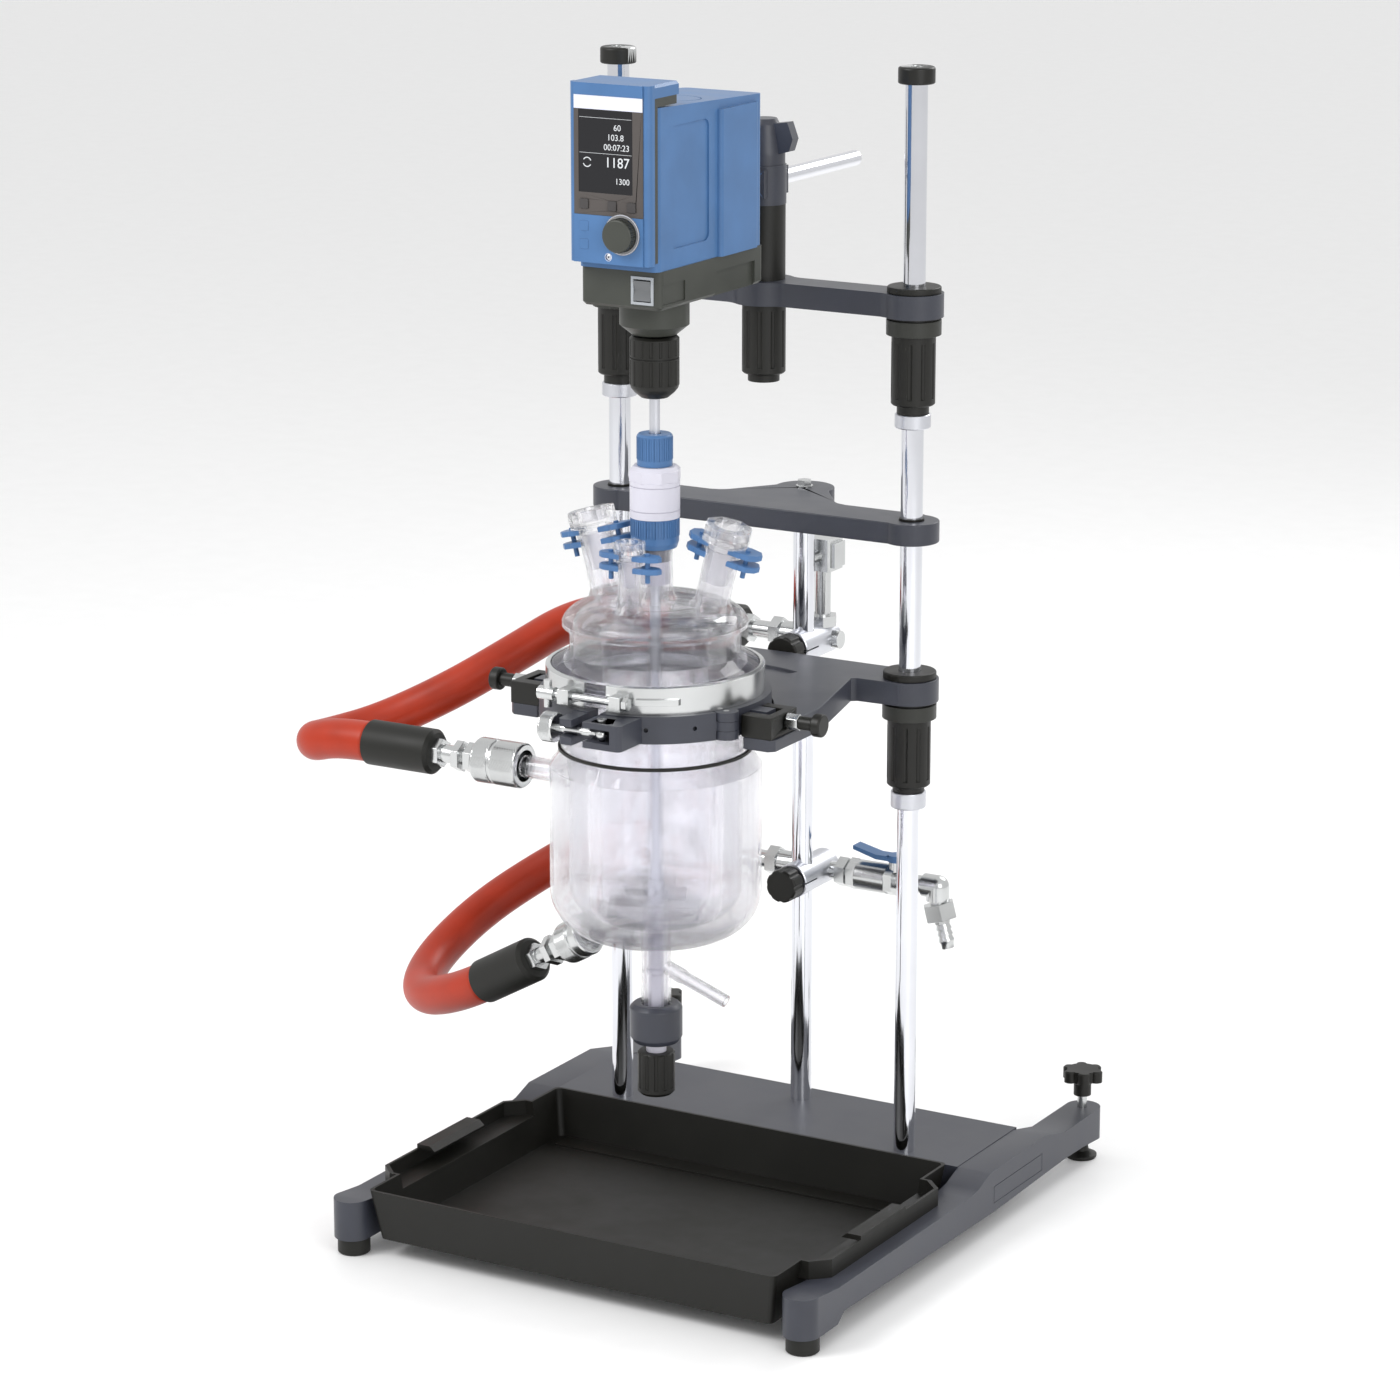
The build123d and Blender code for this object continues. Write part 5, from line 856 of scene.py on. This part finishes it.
class PanelPrint:
    """Readings and rules on the display, and the bare strip."""

    def __init__(self, library: FinishLibrary, sizes: PanelSizes) -> None:
        self.library = library
        self.sizes = sizes

    def build(self) -> None:
        """Makes all printed pieces."""
        left, right, low, high = self.sizes.screen
        for text, size, x, z in (("60", 6.4, 13.5, 1104.0), ("103.8", 6.4, 16.5, 1095.0),
                                 ("00:07:23", 6.4, 22.5, 1086.0), ("1187", 10.5, 22.5, 1070.5),
                                 ("1300", 6.2, 22.5, 1055.5)):
            self.number(text, size, x, z)
        front = self.sizes.front
        self.plate("screen_rule_top", left + 1, right - 1, 1114.6, 1114.9, front, PRINT, "top_carriage")
        self.plate("screen_rule_mid", left + 1, right - 1, 1082.4, 1082.7, front, PRINT, "top_carriage")
        self.ring("screen_ring", -22.5, 1074.0, 4.2, 0.45, front)
        x0, x1, z0, z1 = self.sizes.strip
        self.plate("bare_strip", x0, x1, z0, z1, self.sizes.film, PALE, "top_carriage")

    def number(self, text: str, size: float, right: float, base: float) -> None:
        """Adds one plain number that ends at the right.

        Args:
            text: digits.
            size: height of the letters' body in millimetres.
            right: right end in millimetres.
            base: base line in millimetres.
        """
        curve = bpy.data.curves.new("reading_" + text.replace(":", "_").replace(".", "_"), "FONT")
        curve.body = text
        curve.size = size * MM * 1.25
        curve.align_x = "RIGHT"
        curve.extrude = 0.00003
        curve.resolution_u = 3
        holder = bpy.data.objects.new(curve.name + "_line", curve)
        bpy.context.scene.collection.objects.link(holder)
        bpy.context.view_layer.update()
        mesh = bpy.data.meshes.new_from_object(holder.evaluated_get(bpy.context.evaluated_depsgraph_get()))
        mesh.name = curve.name
        bpy.data.objects.remove(holder)
        bpy.data.curves.remove(curve)
        mesh.transform(Matrix.Translation(Vector((right, self.sizes.front, base)) * MM)
                       @ Matrix.Rotation(math.radians(90), 4, "X"))
        mesh.materials.clear()
        mesh.materials.append(self.library.material(PRINT))
        obj = bpy.data.objects.new(mesh.name, mesh)
        bpy.context.scene.collection.objects.link(obj)
        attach(obj, "top_carriage")

    def plate(self, name: str, x0: float, x1: float, z0: float, z1: float, front: float, finish: Finish,
              body: str) -> None:
        """Adds a thin upright plate 0.1 mm thick.

        Args:
            name: piece name.
            x0: left in millimetres.
            x1: right in millimetres.
            z0: bottom in millimetres.
            z1: top in millimetres.
            front: y of the front in millimetres.
            finish: its finish.
            body: CAD body that it moves with.
        """
        outline = ((x0, z0), (x1, z0), (x1, z1), (x0, z1))
        verts = [Vector((x, y, z)) * MM for y in (front, front + 0.1) for x, z in outline]
        faces = [(0, 1, 2, 3), (4, 7, 6, 5), (0, 4, 5, 1), (1, 5, 6, 2), (2, 6, 7, 3), (3, 7, 4, 0)]
        obj = mesh_object(name, verts, faces, self.library.material(finish), smooth=False)
        fix_normals(obj)
        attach(obj, body)

    def ring(self, name: str, x: float, z: float, radius: float, half: float, front: float) -> None:
        """Adds a thin open ring on the display, in two arcs.

        Args:
            name: piece name.
            x: centre in millimetres.
            z: centre height in millimetres.
            radius: mean radius in millimetres.
            half: half of the line width in millimetres.
            front: y of the front in millimetres.
        """
        steps = 20
        section = ((radius - half, 0.0), (radius + half, 0.0), (radius + half, 0.1), (radius - half, 0.1))
        verts: List[Vector] = []
        faces: List[Tuple[int, ...]] = []
        for start in (20.0, 200.0):
            base = len(verts)
            for i in range(steps + 1):
                angle = math.radians(start + 130.0 * i / steps)
                for reach, depth in section:
                    place = (x + reach * math.cos(angle), front + depth, z + reach * math.sin(angle))
                    verts.append(Vector(place) * MM)
            for i in range(steps):
                a = base + 4 * i
                for k in range(4):
                    n = (k + 1) % 4
                    faces.append((a + k, a + n, a + 4 + n, a + 4 + k))
            faces.append((base + 3, base + 2, base + 1, base))
            faces.append(tuple(base + 4 * steps + k for k in range(4)))
        obj = mesh_object(name, verts, faces, self.library.material(PRINT), smooth=False)
        fix_normals(obj)
        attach(obj, "top_carriage")


@dataclass(frozen=True)
class Band:
    """A short turned sleeve round another piece.

    Args:
        name: piece name.
        body: CAD body that it moves with.
        finish: its finish.
        centre: start of the axis in millimetres.
        direction: axis.
        inner: inner radius in millimetres.
        outer: outer radius in millimetres.
        length: length in millimetres.
    """

    name: str
    body: str
    finish: Finish
    centre: Point
    direction: Point
    inner: float
    outer: float
    length: float


class BandMaker:
    """Makes turned sleeves with softly rounded rims."""

    def __init__(self, library: FinishLibrary) -> None:
        self.library = library

    def build(self, band: Band) -> bpy.types.Object:
        """Makes one sleeve.

        Args:
            band: sizes and place.

        Returns:
            The finished object.
        """
        sides = 72
        soft = min(0.6, 0.4 * (band.outer - band.inner))
        outline = [(band.inner, 0.0), (band.outer - soft, 0.0), (band.outer, soft),
                   (band.outer, band.length - soft),
                   (band.outer - soft, band.length), (band.inner, band.length)]
        axis = Vector(band.direction).normalized()
        side = axis.orthogonal().normalized()
        other = axis.cross(side)
        verts: List[Vector] = []
        faces: List[Tuple[int, ...]] = []
        for reach, along in outline:
            for k in range(sides):
                angle = 2 * math.pi * k / sides
                spoke = side * math.cos(angle) + other * math.sin(angle)
                verts.append((Vector(band.centre) + axis * along + spoke * reach) * MM)
        rows = len(outline)
        for i in range(rows):
            for k in range(sides):
                n = (k + 1) % sides
                faces.append((i * sides + k, i * sides + n, (i + 1) % rows * sides + n,
                              (i + 1) % rows * sides + k))
        obj = mesh_object(band.name, verts, faces, self.library.material(band.finish), smooth=True)
        fix_normals(obj)
        obj.data.set_sharp_from_angle(angle=math.radians(50))
        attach(obj, band.body)
        return obj


def bands() -> List[Band]:
    """Lists the small sleeves."""
    return [
        Band("joint_band", "vessel_carriage", BAND_GREY, (0.0, -140.0, 690.0), (0.0, 0.0, 1.0), 14.27,
             14.48, 13.0),
        Band("dial_ring", "top_carriage", PALE, (14.5, -222.9, 1010.0), (0.0, 1.0, 0.0), 17.9, 18.3, 0.3),
        Band("port_ring", "top_carriage", PALE, (0.0, -222.2, 988.5), (0.0, 1.0, 0.0), 3.2, 3.7, 0.4),
        Band("port_screw", "top_carriage", SATIN, (0.0, -221.6, 988.5), (0.0, 1.0, 0.0), 0.8, 3.1, 3.0),
        Band("hose_tie", "stand", WHITE, (-211.0, 186.0, 303.0), (1.0, 0.0, 0.0), 19.9, 20.5, 5.0),
    ]


@dataclass(frozen=True)
class Camera:
    """Camera of the photo.

    Args:
        place: position in metres.
        turn: rotation in degrees.
        lens: focal length in millimetres on a 36 mm sensor.
    """

    place: Point = (2.1506, -3.7678, 1.6544)
    turn: Point = (75.368, 0.0, 30.085)
    lens: float = 118.06


class Studio:
    """Floor, lights, backdrop and camera."""

    def __init__(self, library: FinishLibrary) -> None:
        self.library = library

    def build(self) -> None:
        """Makes the stage."""
        floor = mesh_object("floor", [(-30, -30, 0), (30, -30, 0), (30, 30, 0), (-30, 30, 0)],
                            [(0, 1, 2, 3)],
                            self.library.material(FLOOR), smooth=False)
        world = bpy.data.worlds.new("studio")
        world.use_nodes = True
        world.node_tree.nodes["Background"].inputs["Color"].default_value = (1.0, 1.0, 1.0, 1.0)
        world.node_tree.nodes["Background"].inputs["Strength"].default_value = 0.85
        bpy.context.scene.world = world
        self.light("key", (-1.6, -2.4, 3.0), 1.6, 70.0)
        self.light("fill", (2.6, -1.8, 1.8), 1.8, 34.0)
        self.light("rim", (0.6, 2.4, 2.4), 1.4, 30.0)
        spec = Camera()
        data = bpy.data.cameras.new("photo_camera")
        data.lens = spec.lens
        data.sensor_width = 36.0
        data.clip_end = 50.0
        camera = bpy.data.objects.new("photo_camera", data)
        camera.location = spec.place
        camera.rotation_euler = [math.radians(a) for a in spec.turn]
        bpy.context.scene.collection.objects.link(camera)
        bpy.context.scene.camera = camera
        bpy.context.scene.view_settings.view_transform = "Standard"

    @staticmethod
    def light(name: str, place: Point, size: float, power: float) -> None:
        """Adds one soft light aimed at the vessel.

        Args:
            name: light name.
            place: position in metres.
            size: edge length in metres.
            power: power in watts.
        """
        data = bpy.data.lights.new(name, "AREA")
        data.shape = "SQUARE"
        data.size = size
        data.energy = power
        lamp = bpy.data.objects.new(name, data)
        lamp.location = place
        aim = Vector((0.0, -0.05, 0.55)) - Vector(place)
        lamp.rotation_euler = aim.to_track_quat("-Z", "Y").to_euler()
        bpy.context.scene.collection.objects.link(lamp)


def main() -> None:
    """Builds the whole scene."""
    logging.basicConfig(level=logging.INFO, format="%(name)s: %(message)s")
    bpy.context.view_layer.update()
    library = FinishLibrary()
    Studio(library).build()
    hoses = HoseSet(library)
    hoses.build(UPPER_HOSE)
    hoses.build(HoseRoute("lower_hose", lower_points(), 20.0))
    painter = NodePainter(library, frame["nodes"])
    for job in node_finishes():
        painter.paint(job)
    ribs = RibMaker(library)
    for ring in rib_rings():
        ribs.build(ring)
    knurls = KnurlMaker(library)
    for band in knurl_bands():
        knurls.build(band)
    sleeves = BandMaker(library)
    for band in bands():
        sleeves.build(band)
    PanelPrint(library, PanelSizes()).build()


if __name__ == "__main__":
    main()
